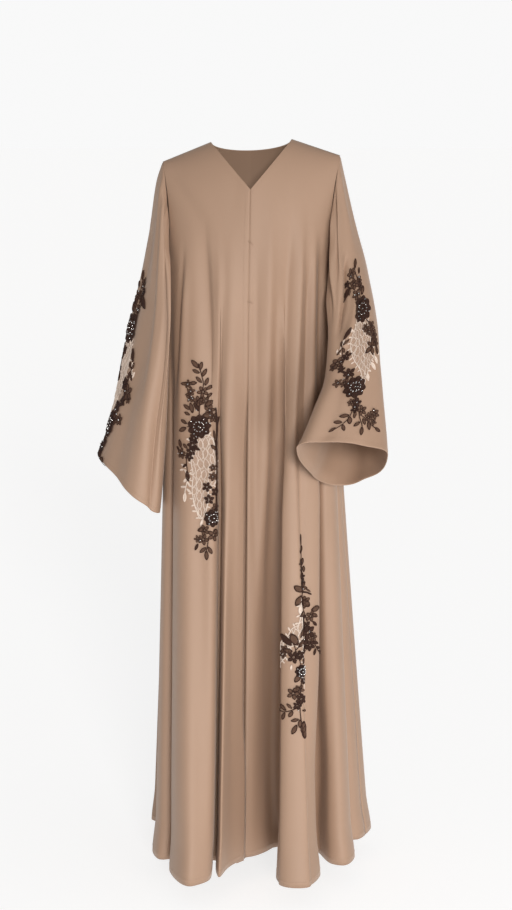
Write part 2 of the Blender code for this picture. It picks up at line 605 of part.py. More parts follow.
def leaf_outline(foot_x, foot_y, length, way):
    turn = math.radians(way)
    along, across = np.array([math.cos(turn), math.sin(turn)]), np.array([-math.sin(turn), math.cos(turn)])
    foot, half = np.array([foot_x, foot_y], float), length * LEAF_SLENDERNESS / 2
    stations = LEAF_STATIONS if length > SMALL_LEAF else SMALL_LEAF_STATIONS
    return [foot + along * length * a + across * half * c for a, c in stations]


def flower_outline(middle_x, middle_y, radius):
    corners = 2 * PETALS if radius > SMALL_FLOWER else PETALS
    ring = []
    for k in range(corners):
        reach = radius * (1 - PETAL_DEPTH if k % 2 == 0 and corners > PETALS else 1)
        turn = 2 * math.pi * k / corners + PETAL_TURN
        ring.append(np.array([middle_x + reach * math.cos(turn), middle_y + reach * math.sin(turn)]))
    return ring


def stem_outlines(points):
    """Overlapping bars, one for each straight run of the stem."""
    bars = []
    for start, end in zip(points, points[1:]):
        start, end = np.array(start, float), np.array(end, float)
        along = unit(end - start)
        across = np.array([-along[1], along[0]]) * STEM_HALF_WIDTH
        start, end = start - along * STEM_OVERLAP, end + along * STEM_OVERLAP
        bars.append([start + across, end + across, end - across, start - across])
    return bars


def spray_outlines(stems, leaves, flowers, links):
    outlines = []
    for stem in stems + links:
        outlines += stem_outlines(stem)
    outlines += [leaf_outline(*row) for row in leaves]
    return outlines + [flower_outline(*row) for row in flowers]


def running_length(points):
    return np.concatenate([[0], np.cumsum(np.linalg.norm(np.diff(points, axis=0), axis=1))])


def between(grid, u, v):
    """Point on the wall's own triangles at the grid parameters u, v."""
    i, j = min(int(u), grid.shape[0] - 2), min(int(v), grid.shape[1] - 2)
    s, t = u - i, v - j
    a, b, c, d = grid[i, j], grid[i + 1, j], grid[i + 1, j + 1], grid[i, j + 1]
    return a + (b - a) * s + (c - b) * t if s >= t else a + (d - a) * t + (c - d) * s


def on_cloth(grid, anchor, across, down):
    """Grid parameters of the place that lies this far across and down the cloth from the anchor (u, v)."""
    i = int(anchor[0])
    column = grid[i] + (grid[i + 1] - grid[i]) * (anchor[0] - i)
    rows = np.arange(grid.shape[1])
    length = running_length(column)
    v = float(np.interp(np.interp(anchor[1], rows, length) + down, length, rows))
    j = min(int(v), grid.shape[1] - 2)
    row = grid[:, j] + (grid[:, j + 1] - grid[:, j]) * (v - j)
    places = np.arange(grid.shape[0])
    length = running_length(row)
    return float(np.interp(np.interp(anchor[0], places, length) + across, length, places)), v


def area_of(ring):
    x, y = np.array(ring).T
    return float(np.sum(x * np.roll(y, -1) - y * np.roll(x, -1))) / 2


def union_outline(outlines):
    """The outer edge of the union of the outlines, as one loop of points."""
    points, rings = [], []
    for outline in outlines:
        outline = outline if area_of(outline) > 0 else outline[::-1]
        rings.append(list(range(len(points), len(points) + len(outline))))
        points += [Vector((float(x), float(y))) for x, y in outline]
    flat, _, faces, _, _, owners = delaunay_2d_cdt(points, [], rings, 0, UNION_MERGE, True)
    sides = set()
    for face, owner in zip(faces, owners):
        if owner:
            sides |= set(zip(face, face[1:] + face[:1]))
    follow = {a: b for a, b in sides if (b, a) not in sides}
    loops = []
    while follow:
        start = next(iter(follow))
        loop = []
        while start in follow:
            loop.append(start)
            start = follow.pop(start)
        loops.append([np.array(flat[k]) for k in loop])
    return thinned(max(loops, key=lambda ring: abs(area_of(ring))))


def side_of(points, start, end):
    """Positive where the points lie to the left of the line from start to end."""
    way = end - start
    return way[0] * (points[:, 1] - start[1]) - way[1] * (points[:, 0] - start[0])


def thinned(loop):
    """The loop without corners that lie close to the one before, where leaving them out crosses nothing."""
    loop = list(loop)
    k = 0
    while k < len(loop):
        before, here, after = loop[k - 1], loop[k], loop[(k + 1) % len(loop)]
        others = np.array([p for p in loop if p is not before and p is not here and p is not after])
        sides = np.array([side_of(others, before, here), side_of(others, here, after),
                          side_of(others, after, before)])
        free = not np.any(np.all(sides >= -CORNER_ROOM, axis=0) | np.all(sides <= CORNER_ROOM, axis=0))
        if np.linalg.norm(here - before) < OUTLINE_MERGE and free:
            del loop[k]
        else:
            k += 1
    return loop


def applique(name, grid, normals, anchor, outlines, lift, mirror, hang, material, collection):
    """A closed plate over the union of flat outlines, laid on the cloth's own triangles."""
    loop = union_outline(outlines)
    stretch, lean = hang
    points = [Vector(on_cloth(grid, anchor, mirror * (x - lean * y) / 1000, stretch * y / 1000)) for x, y in loop]
    ring = list(range(len(points)))
    if area_of([(p.x, p.y) for p in points]) < 0:
        ring.reverse()
    low = [math.floor(min(p[k] for p in points)) for k in (0, 1)]
    high = [math.ceil(max(p[k] for p in points)) for k in (0, 1)]
    edges = []

    def line(start, end):
        points.extend([Vector(start), Vector(end)])
        edges.append((len(points) - 2, len(points) - 1))

    for u in range(low[0], high[0] + 1):
        line((u, low[1]), (u, high[1]))
    for v in range(low[1], high[1] + 1):
        line((low[0], v), (high[0], v))
    for k in range(low[0] - high[1], high[0] - low[1] + 1):
        start, end = max(low[0], low[1] + k), min(high[0], high[1] + k)
        if start < end:
            line((start, start - k), (end, end - k))
    flat, _, faces, _, _, owners = delaunay_2d_cdt(points, edges, [ring], 0, CDT_MERGE, True)
    faces = [tuple(face) for face, owner in zip(faces, owners) if owner]
    used = sorted({corner for face in faces for corner in face})
    number = {corner: k for k, corner in enumerate(used)}
    vertices = []
    for height in lift:
        for corner in used:
            u, v = flat[corner]
            vertices.append(between(grid, u, v) + between(normals, u, v) * height)
    solid = []
    sides = {}
    for face in faces:
        solid += [tuple(number[corner] + len(used) for corner in face)]
        solid += [tuple(number[corner] for corner in reversed(face))]
        for a, b in zip(face, face[1:] + face[:1]):
            sides[(a, b)] = (number[a], number[b])
    for (a, b), (c, d) in sides.items():
        if (b, a) not in sides:
            solid.append((c, d, d + len(used), c + len(used)))
    return new_object(name, vertices, solid, material, collection)


# Where the middle of each motif sits: chest angle and height on the body, angle round the sleeve and length
# down its outer line on the sleeves.
HIP_AT = (34.0, -0.568)
KNEE_AT = (321.5, -0.985)
SLEEVE_RIGHT_AT = (15.0, 0.355)
SLEEVE_LEFT_AT = (50.0, 0.319)
# How much longer than its rows each motif is laid, and how far it leans across as it goes down.
BODY_HANG = (1.0, 0.0)
SLEEVE_RIGHT_HANG = (1.2, 0.0)
SLEEVE_LEFT_HANG = (1.0, 0.14)
UNION_MERGE = 0.01       # corners closer than this are one, in millimetres
CDT_MERGE = 0.00001      # grid parameters closer than this are one point
CORNER_ROOM = 0.2        # square millimetres kept clear round a corner that is left out
OUTLINE_MERGE = 4.0      # outline points closer than this are one, in millimetres


# ---------------------------------------------------------------- fastenings
FASTENING_LEVELS = (-0.200, -0.312)  # heights of the two thread loops
# A loop's line: along the cloth from the right front's edge, off its face and down, in metres.
LOOP_LINE = ((-0.0030, 0.0012, 0.0), (0.0000, 0.0014, -0.0003), (0.0030, -0.0002, -0.0012),
             (0.0060, -0.0016, -0.0026), (0.0080, -0.0018, -0.0036))
LOOP_RADIUS = 0.0006
LOOP_SIDES = 6


def fastening(name, grid, normals, height, material, collection):
    """A short thread loop worked on the right front's edge and caught on the left front."""
    row = float(np.interp(-height, -grid[0, :, 2], np.arange(grid.shape[1])))
    start = between(grid, 0.0, row)
    out = unit(between(normals, 0.0, row))
    across = unit(start - between(grid, 1.0, row))
    down = np.array([0, 0, 1.0])
    line = [start + across * a + out * b + down * c for a, b, c in LOOP_LINE]
    vertices, faces = [], []
    for k, point in enumerate(line):
        along = unit(line[min(k + 1, len(line) - 1)] - line[max(k - 1, 0)])
        side = unit(np.cross(along, out))
        other = np.cross(side, along)
        for n in range(LOOP_SIDES):
            turn = 2 * math.pi * n / LOOP_SIDES
            vertices.append(point + (side * math.cos(turn) + other * math.sin(turn)) * LOOP_RADIUS)
    for k in range(len(line) - 1):
        for n in range(LOOP_SIDES):
            a, b = k * LOOP_SIDES + n, k * LOOP_SIDES + (n + 1) % LOOP_SIDES
            faces.append((a, b, b + LOOP_SIDES, a + LOOP_SIDES))
    faces.append(tuple(range(LOOP_SIDES)))
    faces.append(tuple(range(len(vertices) - LOOP_SIDES, len(vertices))))
    return new_object(name, vertices, faces, material, collection)


# ---------------------------------------------------------------- build
def place_on_body(grid, columns, angle, height):
    """Grid parameters where the body column over this chest angle passes this height."""
    u = float(np.interp(angle, chest_angle(columns), np.arange(len(columns))))
    i = min(int(u), len(columns) - 2)
    heights = grid[i, :, 2] + (grid[i + 1, :, 2] - grid[i, :, 2]) * (u - i)
    return u, float(np.interp(-height, -heights, np.arange(grid.shape[1])))


def place_on_sleeve(grid, turn, length):
    """The sleeve opened at its inner line, and the grid parameters at an angle and a length down its outer
    line."""
    shift = grid.shape[0] // 2
    ring = (np.arange(grid.shape[0]) - shift) / grid.shape[0] * 360
    u = float(np.interp(turn, ring, np.arange(grid.shape[0])))
    return u, float(np.interp(length, running_length(grid[shift]), np.arange(grid.shape[1])))


def main():
    for found in list(bpy.data.objects):
        bpy.data.objects.remove(found, do_unlink=True)
    collection = bpy.data.collections.new("abaya_cloak")
    bpy.context.scene.collection.children.link(collection)
    crepe = cloth_material("crepe", (0.400, 0.262, 0.181), 0.85)
    lace = cloth_material("ivory_lace", (0.680, 0.545, 0.450), 0.80)
    beaded = cloth_material("beaded_embroidery", (0.080, 0.047, 0.036), 0.45)

    columns, grid, normals = body_cloth()
    right_outer, right_normals = front_right_grid(columns, grid, normals)
    hip = (right_outer, right_normals, place_on_body(right_outer, columns[:len(right_outer)], *HIP_AT))
    right_outer = moved_in(right_outer, -1, 0, SEAM_GAP / 2)
    right_outer = moved_in(right_outer, 0, 1, SEAM_GAP / 2)
    wall("front_right", right_outer, right_normals, crepe, collection)
    left_outer, left_normals = front_left_grid(columns, grid, normals)
    left_columns = columns[len(columns) - (len(left_outer) - LAP_COLUMNS):]
    knee_grid = left_outer[:len(left_columns)]
    knee = (knee_grid, left_normals[:len(left_columns)], place_on_body(knee_grid, left_columns, *KNEE_AT))
    left_outer = moved_in(left_outer, 0, 0, SEAM_GAP / 2)
    left_outer = moved_in(left_outer, 0, 1, SEAM_GAP / 2)
    wall("front_left", left_outer, left_normals, crepe, collection)
    first = int(np.searchsorted(columns, knot_at(SIDE_RIGHT) - 1e-9))
    last = int(np.searchsorted(columns, knot_at(SIDE_LEFT) - 1e-9)) + 1
    back_outer, back_normals = grid[first:last], normals[first:last]
    for index, axis in ((0, 0), (-1, 0), (0, 1)):
        back_outer = moved_in(back_outer, index, axis, SEAM_GAP / 2)
    wall("back", back_outer, back_normals, crepe, collection)
    cloths = {"hip": (*hip, -1, BODY_HANG), "knee": (*knee, -1, BODY_HANG)}
    for name, side, sections, folds, at, hang in (
            ("right", -1, RIGHT_SECTIONS, RIGHT_FOLDS, SLEEVE_RIGHT_AT, SLEEVE_RIGHT_HANG),
            ("left", 1, LEFT_SECTIONS, LEFT_FOLDS, SLEEVE_LEFT_AT, SLEEVE_LEFT_HANG)):
        outer, out = sleeve(grid, normals, columns, side, sections, folds)
        wall("sleeve_" + name, outer, out, crepe, collection, closed=True)
        start = int(np.argmax(outer[:, 0, 2]))
        turned = np.roll(outer, outer.shape[0] // 2 - start, axis=0)
        turned_out = np.roll(out, outer.shape[0] // 2 - start, axis=0)
        cloths["sleeve_" + name] = (turned, turned_out, place_on_sleeve(turned, at[0] * side, at[1]), -side, hang)
    motifs = {"hip": (HIP_STEMS, HIP_LEAVES, HIP_FLOWERS, HIP_LINKS, HIP_LACE),
              "knee": (KNEE_STEMS, KNEE_LEAVES, KNEE_FLOWERS, KNEE_LINKS, KNEE_LACE)}
    for name in ("sleeve_right", "sleeve_left"):
        motifs[name] = (SLEEVE_STEMS, SLEEVE_LEAVES, SLEEVE_FLOWERS, SLEEVE_LINKS, SLEEVE_LACE)
    for name, (cloth, out, anchor, mirror, hang) in cloths.items():
        *spray, patch = motifs[name]
        applique("lace_" + name, cloth, out, anchor, [patch], LACE_LIFT, mirror, hang, lace, collection)
        flowers = spray_outlines(*spray)
        applique("spray_" + name, cloth, out, anchor, flowers, SPRAY_LIFT, mirror, hang, beaded, collection)
    for name, height in zip(("fastening_upper", "fastening_lower"), FASTENING_LEVELS):
        fastening(name, right_outer, right_normals, height, crepe, collection)


main()
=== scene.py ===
import math
import random

import bpy
import numpy as np
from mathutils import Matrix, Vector


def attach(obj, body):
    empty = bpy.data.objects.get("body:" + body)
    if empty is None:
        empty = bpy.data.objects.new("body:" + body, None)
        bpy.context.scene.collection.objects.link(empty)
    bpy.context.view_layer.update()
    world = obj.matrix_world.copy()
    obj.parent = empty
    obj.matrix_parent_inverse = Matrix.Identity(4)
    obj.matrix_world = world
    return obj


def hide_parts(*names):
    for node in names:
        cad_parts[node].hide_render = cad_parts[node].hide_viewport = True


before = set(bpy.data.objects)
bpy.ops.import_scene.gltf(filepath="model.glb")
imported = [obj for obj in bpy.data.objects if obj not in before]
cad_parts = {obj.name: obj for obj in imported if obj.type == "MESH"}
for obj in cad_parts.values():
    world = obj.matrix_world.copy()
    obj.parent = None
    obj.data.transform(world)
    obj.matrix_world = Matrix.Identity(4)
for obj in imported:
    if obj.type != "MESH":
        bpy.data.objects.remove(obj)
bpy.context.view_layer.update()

# ================================================================ the two fronts and the back
# Three flared panels of matt crepe, cut in one length from shoulder to hem and sewn at the shoulders and the
# sides. Each is a thin shell, with columns from the neckline, shoulder or armhole over the chest to the hem.
HEM_Z = -1.500               # cut length below the neck point
CHEST_Z = -0.290             # level where the cloth leaves the chest and hangs free
CHEST_HALF_WIDTH = 0.170
FRONT_DEPTH, BACK_DEPTH = 0.135, 0.115
SHOULDER_REACH = 0.200
ROUNDNESS = 2.3              # exponent of the oval section: 2 is an ellipse
DEPTH_PROFILE = (1.6, 0.468)  # the depth closes towards the shoulder line as (1 - tau**first)**second
NECK_HALF_WIDTH = 0.082
NECK_POINT_Z = 0.0
SHOULDER_POINT = (0.180, -0.036)
V_BOTTOM_Z, BACK_NECK_Z = -0.096, -0.020
SHOULDER_TILT, SHOULDER_SHIFT = 0.035, 0.005
FOLD_GROWTH = 1.10           # exponent with which the folds deepen from chest to hem
HEM_KICK, HEM_KICK_FROM = 0.006, 0.93
YOKE_CROWDING = 1.6          # the rows over the chest crowd towards the top edge
TORSO_ROUNDS, CLOSE = 40, 1e-6   # rounds that find a place on the torso; degrees that count as the same
NECK_AT, SHOULDER_AT, UNDERARM_AT = 22.0, 42.0, 90.0
SIDE_RIGHT, SIDE_LEFT = 90.0, 270.0

# One row for each ridge, valley or flank of the folds: where it leaves the chest, in degrees from the centre
# front to the garment's right, and where its hem stands in plan, in millimetres.
FOLDS = (
    (0, -10, -82), (6, -42, -136), (10.5, -60, -186), (13, -67, -145), (14.5, -64, -100), (16, -75, -96),
    (17.5, -76, -148), (22, -84, -203), (42, -119, -232), (52, -147, -194), (60, -162, -135), (67, -134, -72),
    (70, -136, -60), (74, -158, -88), (79, -184, -94), (85, -202, -45), (90, -192, 15), (100, -160, 70),
    (110, -215, 135), (120, -145, 130), (138, -150, 228), (158, -92, 150), (169, -60, 256), (180, -8, 155),
    (191, 50, 258), (202, 88, 160), (222, 145, 240), (240, 152, 148), (250, 228, 172), (260, 198, 108),
    (266, 262, 98), (270, 250, 45), (275, 230, 15), (280, 203, 8), (285, 219, -78), (292, 197, -125),
    (300, 166, -116), (306, 136, -58), (310, 147, -180), (318, 118, -238), (330, 72, -236), (338, 50, -198),
    (344, 62, -20), (351, 36, -52), (356, 12, -72), (360, -10, -82),
)
# The armhole edge: over which chest angle, at which angle round the torso, height.
ARMHOLE = ((47.0, 62.4, -0.064), (55.0, 62.8, -0.118), (66.0, 66.0, -0.180), (79.0, 76.5, -0.230),
           (90.0, 90.0, -0.252))
HEM_STEP = 0.0085            # widest step between two columns of the cloth at the hem
EDGE_STEP = 0.0060           # and along the neckline, shoulder and armhole
YOKE_ROWS, SKIRT_ROWS = 36, 96
CLOTH = 0.0012               # thickness of the crepe
SEAM_DIP, SEAM_DIP_WIDTH = 0.0011, 0.0035  # the cloth is drawn in along a seam

# Soft creases over the chest and the skirt, in millimetres: where they begin and end (x, z), their half width
# towards the viewer's left and right, and how far they stand out; a valley is negative.
FRONT_CREASES = (
    (-131, -224, -152, -525, 5, 5, -5), (-127, -254, -139, -600, 8, 8, 5), (-88, -185, -66, -620, 20, 8, -10),
    (-60, -214, -48, -700, 8, 10, 4.5), (-36, -198, -26, -900, 14, 16, 6), (15, -234, 13, -900, 10, 8, -5),
    (44, -163, 33, -900, 13, 10, 6.5), (83, -173, 64, -720, 22, 8, -10), (107, -167, 90, -650, 10, 6, 7),
    (120, -254, 112, -600, 6, 5, -6), (131, -184, 127, -600, 6, 6, 5), (144, -204, 143, -560, 6, 6, -5),
    (154, -224, 156, -560, 6, 6, 3.5), (-166, -54, -79, -183, 16, 16, -3), (-74, -520, -86, -1560, 14, 12, 8),
    (101, -560, 135, -1560, 5, 30, -16), (60, -600, 54.5, -1560, 34, 4, -16),
    (-130, -600, -145, -1560, 16, 26, 8), (142, -600, 140, -1240, 10, 20, 9),
)
BACK_CREASES = (
    (-125, -230, -140, -640, 9, 12, -6.5), (-100, -180, -112, -700, 11, 9, 6),
    (-62, -210, -58, -680, 16, 8, -7.5), (-30, -160, -22, -760, 12, 12, 5.5), (4, -220, 8, -700, 8, 12, -6),
    (38, -170, 40, -740, 11, 14, 6), (73, -200, 80, -660, 16, 8, -7.5), (105, -190, 118, -700, 10, 12, 5.5),
    (130, -240, 145, -620, 8, 10, -6),
)
# A crease starts and ends this share of its length outside its ends, and grows and fades over these shares.
CREASE_EARLY, CREASE_GROWS, CREASE_FADES = 0.12, 0.35, 0.45


def unit(vectors):
    return vectors / np.maximum(np.linalg.norm(vectors, axis=-1, keepdims=True), 1e-12)


def signed_power(value, exponent):
    return np.sign(value) * np.abs(value) ** exponent


def smoothstep(value):
    t = np.clip(value, 0, 1)
    return t * t * (3 - 2 * t)


def read(points, places, at):
    """A row of points, known at these rising places, read at another place or several."""
    return np.stack([np.interp(at, places, axis) for axis in points.T], axis=-1)


def spline(knots, values, at):
    """A smooth curve through values (rows) at the rising knots, read at each parameter in at."""
    knots, values, at = np.asarray(knots, float), np.asarray(values, float), np.asarray(at, float)
    step = np.diff(knots)
    slope = np.diff(values, axis=0) / step[:, None]
    tangent = np.empty_like(values)
    tangent[0], tangent[-1] = slope[0], slope[-1]
    both = (step[:-1] + step[1:])[:, None]
    tangent[1:-1] = (slope[:-1] * step[1:, None] + slope[1:] * step[:-1, None]) / both
    i = np.clip(np.searchsorted(knots, at, side="right") - 1, 0, len(step) - 1)
    t = ((at - knots[i]) / step[i])[:, None]
    h = step[i][:, None]
    return ((2 * t**3 - 3 * t**2 + 1) * values[i] + (t**3 - 2 * t**2 + t) * h * tangent[i]
            + (3 * t**2 - 2 * t**3) * values[i + 1] + (t**3 - t**2) * h * tangent[i + 1])


def shoulder_height(beta):
    drop = (NECK_POINT_Z - SHOULDER_POINT[1]) / (SHOULDER_POINT[0] - NECK_HALF_WIDTH)
    reach = SHOULDER_REACH * np.abs(np.sin(beta)) ** (2 / ROUNDNESS)
    return NECK_POINT_Z - drop * (reach - NECK_HALF_WIDTH)


def chest_width(tau):
    return CHEST_HALF_WIDTH + (SHOULDER_REACH - CHEST_HALF_WIDTH) * tau**2


def torso(alpha, tau):
    """The cloth over the upper body: alpha is the angle round it, tau runs from 0 at the chest to 1 on the
    shoulder line."""
    across, along = np.sin(alpha), np.cos(alpha)
    depth = np.where(along > 0, FRONT_DEPTH, BACK_DEPTH) * (1 - tau ** DEPTH_PROFILE[0]) ** DEPTH_PROFILE[1]
    x = -chest_width(tau) * signed_power(across, 2 / ROUNDNESS)
    y = -depth * signed_power(along, 2 / ROUNDNESS)
    z = CHEST_Z + tau * (shoulder_height(alpha) - CHEST_Z)
    return np.stack([x + SHOULDER_SHIFT * tau, y, z + SHOULDER_TILT * x * tau], axis=-1)


def on_torso(half_width, height):
    """The angle from the nearest centre and the tau at which the torso has this half width and height."""
    beta = 0.5
    for _ in range(TORSO_ROUNDS):
        tau = np.clip((height - CHEST_Z) / (shoulder_height(beta) - CHEST_Z), 0, 1)
        beta = np.arcsin(np.clip(half_width / chest_width(tau), 0, 1) ** (ROUNDNESS / 2))
    return beta, tau


def top_edge(angle):
    """(alpha, tau) of the cut edge above each chest angle: neckline, shoulder seam, armhole."""
    from_front = np.minimum(angle, 360 - angle)
    in_front = from_front <= 90
    near = np.where(in_front, from_front, 180 - from_front)
    neck_z = np.where(in_front, V_BOTTOM_Z, BACK_NECK_Z)
    k = np.clip(near / NECK_AT, 0, 1)
    scoop = np.where(in_front, k, 1 - np.sqrt(np.maximum(1 - k * k, 0)))
    seam = np.clip((near - NECK_AT) / (SHOULDER_AT - NECK_AT), 0, 1)
    width = NECK_HALF_WIDTH * k + (SHOULDER_POINT[0] - NECK_HALF_WIDTH) * seam
    height = neck_z + (NECK_POINT_Z - neck_z) * scoop + (SHOULDER_POINT[1] - NECK_POINT_Z) * seam
    beta, tau = np.array([on_torso(w, h) for w, h in zip(width, height)]).T
    tau = np.where((near >= NECK_AT - CLOSE) & (near <= SHOULDER_AT + CLOSE), 1.0, tau)
    tip = (SHOULDER_AT, math.degrees(on_torso(*SHOULDER_POINT)[0]), SHOULDER_POINT[1])
    rows = (tip,) + ARMHOLE
    curve = spline([r[0] for r in rows], [r[1:] for r in rows], np.clip(near, SHOULDER_AT, UNDERARM_AT))
    arm_beta, arm_z = np.radians(curve[:, 0]), curve[:, 1]
    arm = near > SHOULDER_AT + CLOSE
    beta = np.where(arm, arm_beta, beta)
    tau = np.where(arm, (arm_z - CHEST_Z) / (shoulder_height(arm_beta) - CHEST_Z), tau)
    alpha = np.where(in_front, beta, math.pi - beta)
    return np.where(angle <= 180, alpha, 2 * math.pi - alpha), tau


ANGLES = [angle for angle, x, y in FOLDS]
HEM_PLAN = np.array([(x, y) for angle, x, y in FOLDS]) / 1000
KNOTS = np.concatenate([[0], np.cumsum(np.sqrt(np.linalg.norm(np.diff(HEM_PLAN, axis=0), axis=1)))])


def cloth_columns():
    """Parameters of the columns of the whole body cloth, once round from the centre front."""
    edge = torso(*top_edge(np.array(ANGLES)))
    found = []
    for i in range(len(ANGLES) - 1):
        steps = max(2, round(math.dist(HEM_PLAN[i], HEM_PLAN[i + 1]) / HEM_STEP),
                    round(math.dist(edge[i], edge[i + 1]) / EDGE_STEP))
        found += [KNOTS[i] + (KNOTS[i + 1] - KNOTS[i]) * k / steps for k in range(steps)]
    return np.array(found + [KNOTS[-1]])


def column_of(angle):
    """The column that leaves the chest at the angle of one of the folds."""
    return int(np.searchsorted(columns, KNOTS[ANGLES.index(angle)] - 1e-9))


def body(columns, levels):
    """Points of the body cloth: a level runs from 0 on the top edge over 1 at the chest to 2 at the hem."""
    angle = np.interp(columns, KNOTS, ANGLES)
    edge_alpha, edge_tau = top_edge(angle)
    down = np.clip(levels, 0, 1)[None]
    alpha = edge_alpha[:, None] + (np.radians(angle) - edge_alpha)[:, None] * down ** (1 / YOKE_CROWDING)
    points = torso(alpha, edge_tau[:, None] * (1 - down))
    fall = np.broadcast_to(np.clip(levels - 1, 0, 1), points.shape[:2])
    plan = spline(KNOTS, HEM_PLAN, columns)
    points[..., :2] += (plan[:, None] - points[..., :2]) * (fall**FOLD_GROWTH)[..., None]
    points[..., 2] += (HEM_Z - CHEST_Z) * fall
    kick = smoothstep((fall - HEM_KICK_FROM) / (1 - HEM_KICK_FROM)) * HEM_KICK
    points[..., :2] += unit(points[..., :2]) * kick[..., None]
    return points


def outward(grid, closed=False):
    """Outward unit normals of a grid of points whose columns run round to the garment's right."""
    ahead = unit(np.roll(grid, -1, axis=0) - grid)
    behind = unit(grid - np.roll(grid, 1, axis=0))
    if not closed:
        ahead[-1], behind[0] = behind[-1], ahead[0]
    down = unit(np.gradient(grid, axis=1))
    return unit(np.cross(ahead + behind, down))


def creased(grid, normals, creases):
    """The grid with soft creases: each a ridge or valley that fades in and out along its length."""
    lift = np.zeros(grid.shape[:2])
    for x_top, z_top, x_low, z_low, half_left, half_right, height in np.array(creases) / 1000:
        along = (grid[..., 2] - z_top) / (z_low - z_top)
        apart = grid[..., 0] - (x_top + (x_low - x_top) * along)
        fade = smoothstep((along + CREASE_EARLY) / CREASE_GROWS)
        fade = fade * smoothstep((1 + CREASE_EARLY - along) / CREASE_FADES)
        lift += height * fade * np.exp(-(apart / np.where(apart < 0, half_left, half_right)) ** 2)
    return grid + normals * lift[..., None]


def from_edge(grid, column):
    """Distance of every grid point, along its row, from one of the end columns."""
    steps = np.linalg.norm(np.diff(grid, axis=0), axis=-1)
    if column == 0:
        return np.concatenate([np.zeros((1, grid.shape[1])), np.cumsum(steps, axis=0)])
    return np.concatenate([np.cumsum(steps[::-1], axis=0)[::-1], np.zeros((1, grid.shape[1]))])


def from_top(grid):
    steps = np.linalg.norm(np.diff(grid, axis=1), axis=-1)
    return np.concatenate([np.zeros((grid.shape[0], 1)), np.cumsum(steps, axis=1)], axis=1)


def seamed(grid, normals, distances):
    """The grid drawn in along its seams, given the distance of each point from each seam."""
    dip = np.zeros(grid.shape[:2])
    for distance in distances:
        dip = np.maximum(dip, SEAM_DIP * np.exp(-(distance / SEAM_DIP_WIDTH) ** 2))
    return grid - normals * dip[..., None]


def deselect():
    if bpy.context.object and bpy.context.object.mode != "OBJECT":
        bpy.ops.object.mode_set(mode="OBJECT")
    bpy.ops.object.select_all(action="DESELECT")


def keep_only(piece):
    """Makes the piece the one that is selected and active."""
    deselect()
    piece.select_set(True)
    bpy.context.view_layer.objects.active = piece


def new_piece(name, points, faces, *materials):
    """Links a new mesh and makes it the active piece."""
    mesh = bpy.data.meshes.new(name)
    mesh.from_pydata(np.reshape(points, (-1, 3)).tolist(), [], faces)
    for material in materials:
        mesh.materials.append(material)
    piece = bpy.data.objects.new(name, mesh)
    bpy.context.scene.collection.objects.link(piece)
    keep_only(piece)
    return piece


def shell(name, grid, material, closed=False):
    """A cloth piece: the grid is its outer face, thickened inwards, with a UV map in metres of cloth."""
    columns, rows = grid.shape[:2]
    across = np.linalg.norm(np.diff(grid[:, rows // 2], axis=0, append=grid[:1, rows // 2]), axis=-1)
    across = np.concatenate([[0], np.cumsum(across)])
    lengths = from_top(grid)
    faces, corners = [], []
    for u in range(columns if closed else columns - 1):
        w = (u + 1) % columns
        for v in range(rows - 1):
            faces.append((u * rows + v, w * rows + v, w * rows + v + 1, u * rows + v + 1))
            corners += [(across[u], -lengths[u, v]), (across[u + 1], -lengths[w, v]),
                        (across[u + 1], -lengths[w, v + 1]), (across[u], -lengths[u, v + 1])]
    piece = new_piece(name, grid, faces, material)
    piece.data.uv_layers.new(name="cloth").data.foreach_set("uv", np.array(corners).ravel())
    thicken = piece.modifiers.new("cloth", "SOLIDIFY")
    thicken.thickness, thicken.offset, thicken.use_even_offset = CLOTH, -1, False
    bpy.ops.object.modifier_apply(modifier="cloth")
    bpy.ops.object.shade_smooth()
    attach(piece, "root")
    return piece


def finish(name, sockets):
    """A new material with these values on its shader's sockets; its nodes, links and shader come with it."""
    material = bpy.data.materials.new(name)
    material.use_nodes = True
    nodes, links = material.node_tree.nodes, material.node_tree.links
    shader = nodes["Principled BSDF"]
    for socket, value in sockets.items():
        shader.inputs[socket].default_value = value
    return material, nodes, links, shader


def texture(nodes, links, kind, vector, **sockets):
    """A noise or wave texture; its factor."""
    pattern = nodes.new("ShaderNodeTex" + kind)
    for socket, value in sockets.items():
        pattern.inputs[socket].default_value = value
    links.new(vector, pattern.inputs["Vector"])
    return pattern.outputs["Fac"]


def reckoned(nodes, links, operation, *values):
    """A sum or product of values, each a number or the output that gives it."""
    maths = nodes.new("ShaderNodeMath")
    maths.operation = operation
    for socket, value in zip(maths.inputs, values):
        if isinstance(value, float):
            socket.default_value = value
        else:
            links.new(value, socket)
    return maths.outputs["Value"]


def shaded(nodes, links, shader, factor, darker, lighter):
    """Lets the base colour go between two shades."""
    shade = nodes.new("ShaderNodeMix")
    shade.data_type = "RGBA"
    shade.inputs["A"].default_value = (*darker, 1)
    shade.inputs["B"].default_value = (*lighter, 1)
    links.new(factor, shade.inputs["Factor"])
    links.new(shade.outputs["Result"], shader.inputs["Base Color"])


def bumped(nodes, links, shader, height, strength, distance):
    bump = nodes.new("ShaderNodeBump")
    bump.inputs["Strength"].default_value = strength
    bump.inputs["Distance"].default_value = distance
    links.new(height, bump.inputs["Height"])
    links.new(bump.outputs["Normal"], shader.inputs["Normal"])


CREPE_DARK, CREPE_LIGHT = (0.312, 0.197, 0.132), (0.347, 0.222, 0.151)
CREPE_SHEEN = {"Sheen Weight": 0.16, "Sheen Roughness": 0.45, "Sheen Tint": (0.93, 0.80, 0.70, 1)}
CREPE_THREADS, CREPE_WANDER = 260.0, 1.2   # how close its threads cross, and how unevenly they run
CREPE_GRAIN, CREPE_PATCHES = 1500.0, 5.0   # how fine its grain is, and the soft patches of its shade
CREPE_BUMP, CREPE_RELIEF = 0.22, 0.0003    # how strongly its face catches the light, and how deep it is


